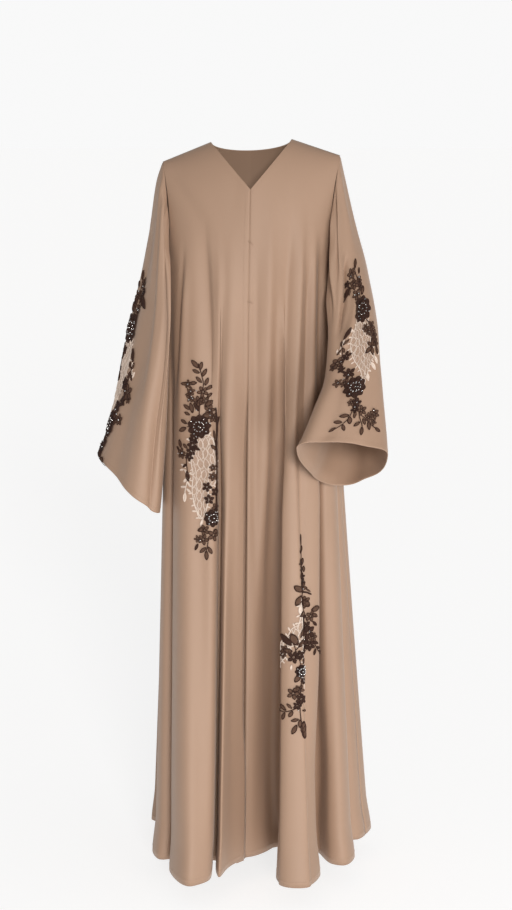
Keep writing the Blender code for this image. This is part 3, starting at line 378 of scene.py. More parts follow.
def crepe_material():
    """Matt crepe: a fine crossed weave with a grainy twist, faintly uneven in shade, with a soft sheen."""
    material, nodes, links, shader = finish("taupe_crepe", {
        "Roughness": 0.58, "Specular IOR Level": 0.45, **CREPE_SHEEN})
    place = nodes.new("ShaderNodeTexCoord")
    patches = texture(nodes, links, "Noise", place.outputs["Object"], Scale=CREPE_PATCHES, Detail=3)
    shaded(nodes, links, shader, patches, CREPE_DARK, CREPE_LIGHT)
    height = texture(nodes, links, "Noise", place.outputs["Object"], Scale=CREPE_GRAIN, Detail=2)
    for turn in (0.0, math.pi / 2):
        turned = nodes.new("ShaderNodeMapping")
        turned.inputs["Rotation"].default_value = (0, 0, turn)
        links.new(place.outputs["UV"], turned.inputs["Vector"])
        threads = texture(nodes, links, "Wave", turned.outputs["Vector"], Scale=CREPE_THREADS,
                          Distortion=CREPE_WANDER)
        height = reckoned(nodes, links, "ADD", height, threads)
    bumped(nodes, links, shader, height, CREPE_BUMP, CREPE_RELIEF)
    return material


crepe = crepe_material()

LEVELS = np.concatenate([np.linspace(0, 1, YOKE_ROWS, endpoint=False) ** YOKE_CROWDING,
                         np.linspace(1, 2, SKIRT_ROWS + 1)])
columns = cloth_columns()
side_right, side_left = column_of(SIDE_RIGHT), column_of(SIDE_LEFT)
smooth_cloth = body(columns, LEVELS)
normals = outward(smooth_cloth)
in_front = smooth_cloth[..., 1] < 0
cloth = np.where(in_front[..., None], creased(smooth_cloth, normals, FRONT_CREASES),
                 creased(smooth_cloth, normals, BACK_CREASES))
normals = outward(cloth)

# The right front laps over the left one: its edge stands a little off it. Below the hips the fronts part by a
# narrow slit, where the right front's edge is drawn back and the left one dips under it.
EDGE_LIFT, EDGE_LIFT_WIDTH = 0.0030, 0.050
SLIT_WIDTH, SLIT_DEPTH = 0.0100, 0.0200
SLIT_FROM, SLIT_TO = (1.14, 1.30), (1.72, 1.86)    # cloth levels between which it opens and closes
slit = smoothstep((LEVELS - SLIT_FROM[0]) / (SLIT_FROM[1] - SLIT_FROM[0])) * \
    smoothstep((SLIT_TO[1] - LEVELS) / (SLIT_TO[1] - SLIT_TO[0]))
under, right_normals = cloth[:side_right + 1], normals[:side_right + 1]
walked = from_edge(under, 0)
right_cloth = np.empty_like(under)
for v in range(len(LEVELS)):
    drawn = walked[:, v] + SLIT_WIDTH * slit[v] * np.clip(1 - walked[:, v] / EDGE_LIFT_WIDTH, 0, 1)
    right_cloth[:, v] = read(under[:, v], walked[:, v], drawn)
lifted = EDGE_LIFT * (1 - smoothstep(from_edge(right_cloth, 0) / EDGE_LIFT_WIDTH))
right_cloth = right_cloth + right_normals * lifted[..., None]
right_seamed = seamed(right_cloth, right_normals, [from_edge(right_cloth, -1)])
front_right = shell("front_right_crepe", right_seamed, crepe)

# The left front runs on under the right one, as an underlap that is a little longer at the hem.
LAP, LAP_START, LAP_COLUMNS = 0.022, 0.0006, 9
LAP_SINK = (0.0004, 0.0042)      # how deep it lies under the right front, at its start and at its free side
LAP_HEM_DROP, LAP_DROP_EXPONENT = 0.006, 6
reach, places = from_edge(right_cloth, 0), np.arange(len(under))
laps, lap_normals = [], []
for part in np.linspace(0, 1, LAP_COLUMNS):
    wanted, sink = max(LAP * part, LAP_START), np.interp(part, (0, 1), LAP_SINK)
    column, way = np.empty((len(LEVELS), 3)), np.empty((len(LEVELS), 3))
    for v in range(len(LEVELS)):
        at = np.interp(wanted, reach[:, v], places)
        column[v], way[v] = read(under[:, v], places, at), read(right_normals[:, v], places, at)
    laps.append(column - way * sink + np.outer(SLIT_DEPTH * slit, (0, 1, 0)))
    lap_normals.append(way)
left_cloth = np.concatenate([cloth[side_left:], laps])
left_normals = np.concatenate([normals[side_left:], lap_normals])
left_cloth[-LAP_COLUMNS:, :, 2] -= LAP_HEM_DROP * np.clip(LEVELS - 1, 0, 1) ** LAP_DROP_EXPONENT
left_seamed = seamed(left_cloth, left_normals, [from_edge(left_cloth, 0)])
front_left = shell("front_left_crepe", left_seamed, crepe)

back_cloth, back_normals = cloth[side_right:side_left + 1], normals[side_right:side_left + 1]
back_seamed = seamed(back_cloth, back_normals, [from_edge(back_cloth, 0), from_edge(back_cloth, -1)])
back = shell("back_crepe", back_seamed, crepe)

for piece, node in ((front_right, "front_right"), (front_left, "front_left"), (back, "back")):
    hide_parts(node)

# ================================================================ the sleeves
# Two wide bell sleeves of the same crepe, each one cut piece sewn along its underarm and set into the
# armhole. The wearer's right one hangs straight; the left one swings forward, so its cuff shows its hollow.

# One row for each cross-section, from armhole to cuff: its outermost, innermost, front and back points, in
# millimetres.
RIGHT_SECTIONS = (
    ((-189, 0, -85), (-176, -6, -262), (-166, -74, -188), (-175, 60, -182)),
    ((-200, 0, -155), (-176, -24, -280), (-166, -93, -226), (-188, 75, -222)),
    ((-214, 0, -240), (-172, -52, -314), (-169, -108, -282), (-200, 86, -275)),
    ((-234, 0, -320), (-167, -82, -380), (-175, -117, -355), (-208, 92, -347)),
    ((-255, 0, -415), (-166, -92, -480), (-191, -123, -451), (-219, 96, -443)),
    ((-275, 0, -515), (-168, -96, -592), (-216, -127, -556), (-233, 100, -548)),
    ((-301, 0, -608), (-177, -92, -702), (-232, -131, -656), (-248, 104, -645)),
    ((-314, 0, -645), (-182, -90, -747), (-240, -133, -702), (-255, 106, -688)),
)
LEFT_SECTIONS = (
    ((197, 0, -80), (177.5, -8, -262), (170, -77, -188), (184, 58, -184)),
    ((212.5, -12, -148), (175, -36, -283), (172, -102, -224), (200, 68, -228)),
    ((236, -48, -247), (166, -85, -327), (182, -137, -287), (219, 68, -300)),
    ((256.5, -98, -355), (158, -138, -400), (198, -183, -365), (228, 45, -410)),
    ((263, -145, -452), (148, -188, -470), (206, -219, -430), (220, 4, -520)),
    ((267, -178, -510), (128, -230, -515), (198, -252, -483), (210, -45, -590)),
    ((272, -215, -575), (105, -266, -565), (186, -287, -545), (197, -98, -660)),
    ((273, -238, -607), (92, -280, -588), (180, -302, -569), (187, -120, -687)),
)
# One row for each fold: its angle round the sleeve (0 outer line, 90 front, 180 inner line), how far it
# stands out in millimetres, its half width in degrees, and the sections between which it grows.
RIGHT_SLEEVE_FOLDS = ((60, -7, 20, 2.5, 6), (95, 8, 20, 2.5, 6.5), (130, -12, 20, 2.5, 6.5),
                      (-50, -8, 20, 2.5, 7), (-92, 10, 22, 2.5, 7), (-135, -12, 22, 2.5, 7))
LEFT_SLEEVE_FOLDS = ((60, -10, 24, 1.2, 3), (110, -8, 22, 2, 4), (-55, -10, 22, 2.5, 7),
                     (-100, 10, 22, 2.5, 7), (-145, -12, 20, 2.5, 7))
# Short soft creases over them: where each begins and ends (section, angle), its half width in degrees and how
# far it stands out in millimetres.
RIGHT_SLEEVE_CREASES = (
    (0.3, 75, 7.6, 126, 7, -9), (0.3, 98, 7, 146, 8, 6), (0.2, 30, 3.6, 44, 9, 4), (0.2, 120, 5, 158, 6, -6),
    (2, 12, 6.4, 20, 10, -4), (1, 52, 6, 96, 8, 5), (0.3, -70, 5.6, -110, 8, -5.5),
    (0.5, -30, 4.6, -40, 9, 4.5), (1, -100, 6.6, -150, 8, 5),
)
LEFT_SLEEVE_CREASES = (
    (0.2, 60, 2.7, 96, 6.5, -9), (0.2, 82, 3.1, 118, 6, 7.5), (0.3, 104, 3.4, 136, 6, -9),
    (0.4, 128, 3.6, 158, 7, 6), (2.6, 52, 3.9, 118, 8, -11), (3, 40, 4.5, 112, 10, 8),
    (0.2, 26, 2.6, 30, 10, 4), (4.6, 60, 7.9, 66, 16, 3), (4.8, 100, 7.9, 108, 12, -3),
    (0.4, -60, 5, -90, 9, -6), (0.6, -30, 4.2, -44, 9, 4.5), (1.4, -110, 6.8, -140, 8, 5),
)
# A crease starts and ends this share of its length outside its ends, and grows and fades over these shares.
SHORT_CREASE_EARLY, SHORT_CREASE_LATE, SHORT_CREASE_GROWS, SHORT_CREASE_FADES = 0.1, 0.12, 0.3, 0.4
SHORT_CREASE_RUNS_ON = 0.2   # its line runs on by this share of its length
SLEEVE_SQUARENESS = 2.3      # exponent of the oval section: 2 is an ellipse
SLEEVE_ROWS = 112
HEAD_GAP = 0.0004            # between the sleeve head and the armhole


def armhole(side):
    """The armhole edge as the sleeve's columns meet it: from the shoulder point down the front, up the back,
    with the angle round the sleeve of each point."""
    spans = ((SHOULDER_AT, SIDE_RIGHT), (SIDE_RIGHT, 180 - SHOULDER_AT)) if side < 0 else \
        ((360 - SHOULDER_AT, SIDE_LEFT), (SIDE_LEFT, 180 + SHOULDER_AT))
    loop, ring = [], []
    for (top, low), start in zip(spans, (0.0, math.pi)):
        first, last = column_of(top), column_of(low)
        step = 1 if last > first else -1
        run = cloth[first:last + step if last + step >= 0 else None:step, 0]
        halves = np.empty((2 * len(run) - 1, 3))
        halves[::2], halves[1::2] = run, (run[1:] + run[:-1]) / 2
        length = np.concatenate([[0], np.cumsum(np.linalg.norm(np.diff(halves, axis=0), axis=1))])
        loop.append(halves[:-1])
        ring.append((start + math.pi * length / length[-1])[:-1])
    return np.concatenate(loop), np.concatenate(ring)


def bell_sleeve(side, sections, folds, creases):
    """Outer face and normals of a sleeve: columns round it, rows from the armhole to the cuff."""
    loop, ring = armhole(side)
    across, along = (signed_power(f(ring), 2 / SLEEVE_SQUARENESS)[:, None] for f in (np.cos, np.sin))
    stations = [loop + (side * HEAD_GAP, 0, 0)]
    for row in sections:
        outer, inner, front, back = np.array(row) / 1000
        centre, middle = (outer + inner) / 2, (front + back) / 2
        bulge = np.where(along > 0, front - middle, back - middle) * np.abs(along)
        stations.append(centre + (outer - centre) * across + bulge + (middle - centre) * np.abs(along))
    levels = np.linspace(0, 1, SLEEVE_ROWS + 1) * len(sections)
    grid = spline(np.arange(len(stations)), np.array(stations).reshape(len(stations), -1), levels)
    grid = grid.reshape(len(levels), len(ring), 3).transpose(1, 0, 2)
    turn = np.degrees(ring)[:, None]
    lift = np.zeros(grid.shape[:2])
    for at, height, width, first, last in folds:
        apart = (turn - at + 180) % 360 - 180
        lift += height / 1000 * smoothstep((levels - first) / (last - first)) * np.exp(-(apart / width) ** 2)
    for first, at_first, last, at_last, width, height in creases:
        part = (levels - first) / (last - first)
        run = np.clip(part, -SHORT_CREASE_RUNS_ON, 1 + SHORT_CREASE_RUNS_ON)
        apart = (turn - (at_first + (at_last - at_first) * run) + 180) % 360 - 180
        fade = smoothstep((part + SHORT_CREASE_EARLY) / SHORT_CREASE_GROWS)
        fade = fade * smoothstep((1 + SHORT_CREASE_LATE - part) / SHORT_CREASE_FADES)
        lift += height / 1000 * fade * np.exp(-(apart / width) ** 2)
    grid = grid if side > 0 else grid[::-1]
    lift = lift if side > 0 else lift[::-1]
    grid = grid + outward(grid, closed=True) * lift[..., None]
    way = outward(grid, closed=True)
    return seamed(grid, way, [from_top(grid)]), way


def bell(name, side, sections, folds, creases):
    grid, way = bell_sleeve(side, sections, folds, creases)
    piece = shell(name + "_crepe", grid, crepe, closed=True)
    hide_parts(name)
    return piece, grid, way


sleeve_right, right_sleeve, right_sleeve_way = bell("sleeve_right", -1, RIGHT_SECTIONS, RIGHT_SLEEVE_FOLDS,
                                                    RIGHT_SLEEVE_CREASES)
sleeve_left, left_sleeve, left_sleeve_way = bell("sleeve_left", 1, LEFT_SECTIONS, LEFT_SLEEVE_FOLDS,
                                                 LEFT_SLEEVE_CREASES)

# ================================================================ the lace patches
# Ivory net with corded scales and small corded sprigs, cut out along its leafy edge and sewn flat on the
# crepe on the right hip, above the left knee and on both sleeves. Each patch is laid out flat, in millimetres
# across, down and above the cloth from the middle of its spray, and then set on the crepe's own surface.
NET_PITCH, NET_THREAD = 2.6, 0.17        # the diamonds of the net and the half thickness of its thread
NET_APART, NET_SLOPE = 1.2, 0.62         # how far its threads stand apart, in pitches, and how they slope
SCALE_WIDE, SCALE_WANDER = 11.5, 1.2     # how far apart the columns of corded scales are, and how uneven
SCALE_LONG, SCALE_HALF = (16.0, 25.0), (4.2, 6.4)  # least and greatest length of a scale, and half its width
SCALE_LEAN, SCALE_PITCH, SCALE_ROUND = 16, 0.94, 0.8   # degrees off plumb, pitch in its lengths, roundness
CORD = 0.75                              # half thickness of the cords
EDGE_CORD, STEM_CORD = 1.25, 1.3         # how much thicker the cord of the edge and of the stems is
NET_STEP, SCALE_STEP, RIM_STEP, SCALE_POINTS = 9.0, 2.2, 2.6, 11   # how finely net, scales and edge bend
EDGE_LEAF_EVERY, EDGE_LEAF_LONG, EDGE_LEAF_TURN = 3, (6, 10), 30   # the leaves along the cut edge
EDGE_LEAF_SLENDER, SPRIG_SLENDER = 0.42, 0.40      # width over length
LACE_HEIGHT, SHARP_FROM = 0.3, 50        # how far the net lies above the crepe; angle of its sharp edges
# Where the middle of each spray is: chest angle and height on the fronts, and angle round a sleeve and length
# down its outer line. A sleeve's spray is laid this much longer, and leans so much as it goes down.
HIP_AT, KNEE_AT = (32.6, -0.566), (321.5, -0.985)
SLEEVE_RIGHT_AT, SLEEVE_LEFT_AT = (7.0, 0.345), (48.0, 0.319)
SLEEVE_RIGHT_HANG, SLEEVE_LEFT_HANG = (1.2, 0.0), (1.0, 0.14)
# The cut edge of each patch: points across and down.
HIP_LACE = ((-4, 24), (22, 18), (34, 40), (40, 78), (36, 112), (22, 124), (20, 150), (12, 176), (4, 186),
            (-8, 160), (-14, 128), (-12, 96), (-16, 70), (-10, 44))
KNEE_LACE = ((-9, -66), (-1, -50), (3, -20), (9, 0), (11, 40), (9, 84), (3, 62), (0, 24), (-8, 12), (-20, 24),
             (-31, 30), (-34, 46), (-44, 58), (-54, 66), (-48, 42), (-46, 18), (-32, 6), (-22, -12),
             (-12, -18))
SLEEVE_LACE = ((-22, 22), (-2, 22), (12, 26), (14, 50), (18, 84), (24, 98), (12, 112), (6, 134), (-4, 150),
               (-14, 130), (-30, 100), (-38, 66), (-34, 38))
# Ivory sprigs that reach out over the crepe: foot, length, and the way they point (0 right, 90 down).
HIP_SPRIGS = ((-28, 84, 14, 205), (-34, 88, 12, 160), (-26, 96, 10, -120), (-24, 104, 14, 130),
              (-24, 112, 12, 60), (-28, 122, 14, 165), (-26, 126, 13, 40), (-29, 134, 20, 95),
              (8, 186, 16, 110), (-12, 30, 16, -165))
KNEE_SPRIGS = ((-26, -6, 10, -120), (-50, 34, 20, 120), (-44, 44, 12, 60), (-8, -40, 18, -95),
               (4, 84, 18, 80), (6, 104, 12, 60), (-22, 62, 12, 95))
SLEEVE_SPRIGS = ((24, 98, 18, 62), (14, 112, 20, 50), (4, 136, 18, 70), (-4, 150, 18, 88),
                 (-34, 38, 14, -150), (-14, 26, 14, -60), (30, 86, 14, 40), (-60, 60, 14, -60),
                 (-66, 72, 12, -100))
IVORY_STEMS = {
    "hip": (((-14, 92), (-24, 96), (-30, 90)), ((-16, 104), (-24, 112), (-27, 122), (-30, 136)),
            ((-12, 150), (-4, 172), (8, 188))),
    "knee": (((-8, -76), (-4, -40), (2, 0), (4, 40), (5, 84), (7, 112)), ((-30, 32), (-42, 42), (-52, 50))),
    "sleeve": (((-58, 78), (-62, 66), (-56, 56), (-60, 48)), ((6, 130), (2, 150), (-2, 166))),
}


def running(points):
    return np.concatenate([[0], np.cumsum(np.linalg.norm(np.diff(points, axis=0), axis=1))])


def laid(points, ground):
    """Points in millimetres across, down and above the cloth, set on the cloth round a spray's middle."""
    grid, way, (u0, v0), hand, stretch, lean = ground
    across, down, above = np.asarray(points, float).T / 1000
    across, down = across - lean * down, stretch * down
    places, rows = np.arange(grid.shape[0]), np.arange(grid.shape[1])
    i = int(u0)
    length = running(grid[i] + (grid[i + 1] - grid[i]) * (u0 - i))
    v = np.interp(np.interp(v0, rows, length) + down, length, rows)
    j = np.clip(v.astype(int), 0, len(rows) - 2)
    u = np.empty_like(v)
    for row in np.unique(j):
        here = j == row
        near, far = (np.interp(np.interp(u0, places, running(grid[:, k])) + hand * across[here],
                               running(grid[:, k]), places) for k in (row, row + 1))
        u[here] = near + (far - near) * (v[here] - row)
    i = np.clip(u.astype(int), 0, len(places) - 2)
    s, t = (u - i)[:, None], (v - j)[:, None]

    def at(field):
        return (field[i, j] * (1 - s) + field[i + 1, j] * s) * (1 - t) + \
            (field[i, j + 1] * (1 - s) + field[i + 1, j + 1] * s) * t

    return at(grid) + unit(at(way)) * above[:, None]


def on_front(grid, way, first, angle, height):
    """A front as the ground of a spray, at this chest angle and height."""
    u = np.interp(angle, np.interp(columns[first:first + len(grid)], KNOTS, ANGLES), np.arange(len(grid)))
    heights = grid[int(u), :, 2]
    return grid, way, (float(u), float(np.interp(-height, -heights, np.arange(grid.shape[1])))), -1, 1.0, 0.0


def on_sleeve(grid, way, side, turn, down, stretch, lean):
    """A sleeve, opened along its inner line, as the ground of a spray."""
    ring = armhole(side)[1]
    ring = ring if side > 0 else ring[::-1]
    ring = np.degrees((ring + math.pi) % (2 * math.pi) - math.pi) * side
    order = np.argsort(ring)
    outer = int(np.argmin(np.abs(ring[order])))
    length = running(grid[order][outer])
    u = float(np.interp(turn * side, ring[order], np.arange(len(order))))
    v = float(np.interp(down, length, np.arange(grid.shape[1])))
    return grid[order], way[order], (u, v), -side, stretch, lean


def joined(parts):
    """One list of points and one of faces from several."""
    points, faces, start = [], [], 0
    for some, sides in parts:
        points.append(np.asarray(some, float))
        faces += [tuple(corner + start for corner in side) for side in sides]
        start += len(some)
    return np.concatenate(points), faces


def cord_along(path, thick, height=0.0, sides=5, step=3.0, taper=0.6, flat=0.8):
    """A round cord that lies along a flat path."""
    path = np.asarray(path, float)
    length = running(path)
    knots = max(2, int(math.ceil(length[-1] / step)) + 1)
    line = spline(length, path, np.linspace(0, length[-1], knots)) if len(path) > 2 else \
        path[0] + (path[-1] - path[0]) * np.linspace(0, 1, knots)[:, None]
    along = unit(np.gradient(line, axis=0))
    across = np.stack([-along[:, 1], along[:, 0]], axis=1)
    thickness = np.full(knots, thick)
    thickness[[0, -1]] *= taper
    turn = np.linspace(0, 2 * math.pi, sides, endpoint=False) + math.pi / 2
    rings = np.empty((knots, sides, 3))
    rings[..., :2] = line[:, None] + across[:, None] * (np.cos(turn) * thickness[:, None])[..., None]
    rings[..., 2] = height + (np.sin(turn) * flat + flat) * thickness[:, None]
    faces = [(k + m, k + (m + 1) % sides, k + sides + (m + 1) % sides, k + sides + m)
             for k in range(0, (knots - 1) * sides, sides) for m in range(sides)]
    faces += [tuple(range(sides)), tuple((knots - 1) * sides + m for m in range(sides))]
    return rings.reshape(-1, 3), faces


def inside(points, outline):
    """Which points lie inside a closed outline."""
    x, y = np.asarray(points, float).T
    found = np.zeros(len(x), bool)
    for (x0, y0), (x1, y1) in zip(outline, outline[1:] + outline[:1]):
        crosses = (y0 > y) != (y1 > y)
        found ^= crosses & (x < (x1 - x0) * (y - y0) / ((y1 - y0) or 1e-9) + x0)
    return found


def kept_runs(line, outline):
    """The stretches of a line that lie inside the outline."""
    held = inside(line, outline)
    runs, start = [], None
    for k in range(len(line) + 1):
        if k < len(line) and held[k]:
            start = k if start is None else start
        elif start is not None:
            if k - start > 1:
                runs.append(line[start:k])
            start = None
    return runs


def rounded(outline, step=4.0):
    """A closed outline with its corners smoothed."""
    ring = np.array(outline[-2:] + outline + outline[:2], float)
    length = running(ring)
    at = np.arange(length[2], length[-2], step)
    return [tuple(p) for p in spline(length, ring, at)]


def turn_outwards():
    """Turns all faces of the active piece outwards."""
    bpy.ops.object.mode_set(mode="EDIT")
    bpy.ops.mesh.select_all(action="SELECT")
    bpy.ops.mesh.normals_make_consistent(inside=False)
    bpy.ops.object.mode_set(mode="OBJECT")


def taken(pattern):
    """The points and faces of a pattern, which is then removed."""
    points = np.array([tuple(v.co) for v in pattern.data.vertices])
    faces = [tuple(face.vertices) for face in pattern.data.polygons]
    bpy.data.objects.remove(pattern)
    return points, faces


# A leaf of length 1: its rim, its field and its middle run in and up by these steps, and the field ends at
# this distance from the middle. Its width shrinks to this share at the foot and by this share at the tip.
# Leaves longer than the limit, in millimetres, get no thicker.
LEAF_SIDES, LEAF_THICK, LEAF_STEPS = 12, 0.05, ((0.07, 0.07), (0.08, -0.08), (0.14, 0.02))
LEAF_MIDDLE_RISE, LEAF_FIELD_REACH, LEAF_FOOT, LEAF_TIP, LEAF_LIMIT = 0.01, 0.40, 0.75, 0.35, 16


def leaf_pattern():
    """One embroidered leaf or petal, foot at the middle, tip at +X: a raised rim round a sunk field."""
    deselect()
    bpy.ops.mesh.primitive_circle_add(vertices=LEAF_SIDES, radius=1, fill_type="NGON", location=(0, 0, 0))
    leaf = bpy.context.object
    bpy.ops.object.mode_set(mode="EDIT")
    bpy.ops.mesh.select_all(action="SELECT")
    bpy.ops.transform.resize(value=(0.5, 0.5, 1))
    bpy.ops.transform.translate(value=(0.5, 0, 0))
    bpy.ops.mesh.extrude_region_move(TRANSFORM_OT_translate={"value": (0, 0, LEAF_THICK)})
    for inwards, up in LEAF_STEPS:
        bpy.ops.mesh.inset(thickness=inwards, depth=up)
    bpy.ops.mesh.poke(offset=LEAF_MIDDLE_RISE)
    bpy.ops.object.mode_set(mode="OBJECT")
    turn_outwards()
    return taken(leaf)


LEAF = leaf_pattern()
LEAF_FIELD = np.hypot(LEAF[0][:, 0] - 0.5, LEAF[0][:, 1]) < LEAF_FIELD_REACH


def leaves(rows, slender, height, cup=0.0):
    """Copies of the leaf: foot across and down, length, way; slender is their width over their length."""
    points, faces = LEAF
    x, y, z = points.T
    # the leaf narrows towards its foot and comes to a point at its tip
    foot_part = LEAF_FOOT + 2 * (1 - LEAF_FOOT) * x
    width = slender * 2 * np.where(x < 0.5, foot_part, 1.0 - LEAF_TIP * np.clip(2 * x - 1, 0, 1) ** 2)
    parts = []
    for foot_x, foot_y, length, way in rows:
        turn = math.radians(way)
        along = np.array([math.cos(turn), math.sin(turn)])
        side = np.array([-along[1], along[0]])
        flat = (foot_x, foot_y) + along * (x * length)[:, None] + side * (y * width / 2 * length)[:, None]
        up = height + z * min(length, LEAF_LIMIT) + cup * length * (x ** 2)
        parts.append((np.column_stack([flat, up]), faces))
    return parts


def cloth_piece(name, parts, ground, materials, tones=None):
    """Makes one mesh of the parts, laid on the cloth; tones says which material each part's faces take."""
    points, faces = joined(parts)
    piece = new_piece(name, laid(points, ground), faces, *materials)
    if tones is not None:
        piece.data.polygons.foreach_set("material_index", tones)
    corners = np.empty(len(piece.data.loops), int)
    piece.data.loops.foreach_get("vertex_index", corners)
    piece.data.uv_layers.new(name="thread").data.foreach_set("uv", (points[corners, :2] / 1000).ravel())
    turn_outwards()
    bpy.ops.object.shade_smooth_by_angle(angle=math.radians(SHARP_FROM))
    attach(piece, "root")
    return piece


def lace_parts(outline, sprigs, stems, seed):
    """Net, corded scales, edge and sprigs of one patch."""
    edge = rounded(list(outline))
    low, high = np.min(edge, axis=0), np.max(edge, axis=0)
    tall = high[1] - low[1]
    parts = []
    for lean in (1, -1):
        for start in np.arange(low[0] - tall, high[0] + tall, NET_PITCH * NET_APART):
            t = np.arange(low[1], high[1] + NET_PITCH, NET_PITCH)
            line = np.column_stack([start + (t - low[1] if lean > 0 else high[1] - t) * NET_SLOPE, t])
            for run in kept_runs(line, edge):
                parts.append(cord_along(run, NET_THREAD, LACE_HEIGHT, sides=3, step=NET_STEP, taper=1.0))
    chance, t = random.Random(seed), np.linspace(0, 1, SCALE_POINTS)
    for k in range(int((high[0] - low[0]) / SCALE_WIDE) + 2):
        y = low[1] - chance.uniform(0, SCALE_LONG[1])
        while y < high[1]:
            # a scale is two bowed cords that meet at both points
            long, half = chance.uniform(*SCALE_LONG), chance.uniform(*SCALE_HALF)
            turn = math.radians(90 + chance.uniform(-SCALE_LEAN, SCALE_LEAN))
            x = low[0] + (k + 0.5) * SCALE_WIDE + chance.uniform(-SCALE_WANDER, SCALE_WANDER)
            along, side = np.array([(math.cos(turn), math.sin(turn)), (-math.sin(turn), math.cos(turn))])
            for bow in (half, -half):
                bowed = side * (bow * np.sin(math.pi * t) ** SCALE_ROUND)[:, None]
                for run in kept_runs((x, y) + along * (t * long)[:, None] + bowed, edge):
                    parts.append(cord_along(run, CORD, LACE_HEIGHT, sides=4, step=SCALE_STEP))
            y += long * SCALE_PITCH
    parts.append(cord_along(edge + edge[:1], CORD * EDGE_CORD, LACE_HEIGHT, step=RIM_STEP))
    # small corded leaves stand out along the cut edge
    for k in range(0, len(edge), EDGE_LEAF_EVERY):
        here, after = np.array(edge[k]), np.array(edge[(k + 1) % len(edge)])
        along = unit(after - here)
        out = np.array([along[1], -along[0]])
        out = out if not inside([here + out * 2], edge)[0] else -out
        way = math.degrees(math.atan2(out[1], out[0])) + chance.uniform(-EDGE_LEAF_TURN, EDGE_LEAF_TURN)
        parts += leaves([(*here, chance.uniform(*EDGE_LEAF_LONG), way)], EDGE_LEAF_SLENDER, LACE_HEIGHT)
    parts += leaves(sprigs, SPRIG_SLENDER, LACE_HEIGHT)
    return parts + [cord_along(stem, CORD * STEM_CORD, LACE_HEIGHT) for stem in stems]


THREAD_PATCHES = 130.0                     # how fine the uneven patches of its shade are
THREAD_GROOVE_SHADE, THREAD_PATCHED = 0.5, 0.6   # how much painted shade in the grooves between the stitches, and the uneven patches, change the colour
THREAD_BUMP, THREAD_RELIEF = 0.35, 0.0002  # how strongly the stitches catch the light, and how deep they are


def thread_material(name, colour, darker, roughness, pitch):
    """Embroidery thread: fine parallel stitches with a soft lustre, painted shade in their grooves, uneven
    tone in patches.
    """
    material, nodes, links, shader = finish(name, {"Roughness": roughness, "Specular IOR Level": 0.15})
    place = nodes.new("ShaderNodeTexCoord")
    stitches = texture(nodes, links, "Wave", place.outputs["UV"], Scale=1 / pitch / math.pi,
                       Distortion=2.0, Detail=1.0)
    patches = texture(nodes, links, "Noise", place.outputs["Object"], Scale=THREAD_PATCHES, Detail=2)
    patches = reckoned(nodes, links, "MULTIPLY", patches, THREAD_PATCHED)
    # the stitch pattern darkens the colour where it lies low, as painted shade in the grooves; the patches
    # are uneven tone
    mixed = reckoned(nodes, links, "MULTIPLY_ADD", stitches, THREAD_GROOVE_SHADE, patches)
    shaded(nodes, links, shader, mixed, darker, colour)
    bumped(nodes, links, shader, stitches, THREAD_BUMP, THREAD_RELIEF)
    return material


ivory = thread_material("ivory_cotton", (0.69, 0.58, 0.50), (0.54, 0.44, 0.37), 0.8, 0.0008)
GROUNDS = {
    "hip": on_front(right_cloth, right_normals, 0, *HIP_AT),
    "knee": on_front(left_cloth[:-LAP_COLUMNS], left_normals[:-LAP_COLUMNS], side_left, *KNEE_AT),
    "sleeve_right": on_sleeve(right_sleeve, right_sleeve_way, -1, *SLEEVE_RIGHT_AT, *SLEEVE_RIGHT_HANG),
    "sleeve_left": on_sleeve(left_sleeve, left_sleeve_way, 1, *SLEEVE_LEFT_AT, *SLEEVE_LEFT_HANG),
}
PATCHES = {"hip": (HIP_LACE, HIP_SPRIGS), "knee": (KNEE_LACE, KNEE_SPRIGS),
           "sleeve": (SLEEVE_LACE, SLEEVE_SPRIGS)}
lace_pieces = {}
for number, (place, ground) in enumerate(GROUNDS.items()):
    kind = place.split("_")[0]
    parts = lace_parts(*PATCHES[kind], IVORY_STEMS[kind], number)
    lace_pieces[place] = lace = cloth_piece("lace_" + place + "_net", parts, ground, [ivory])
    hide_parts("lace_" + place)


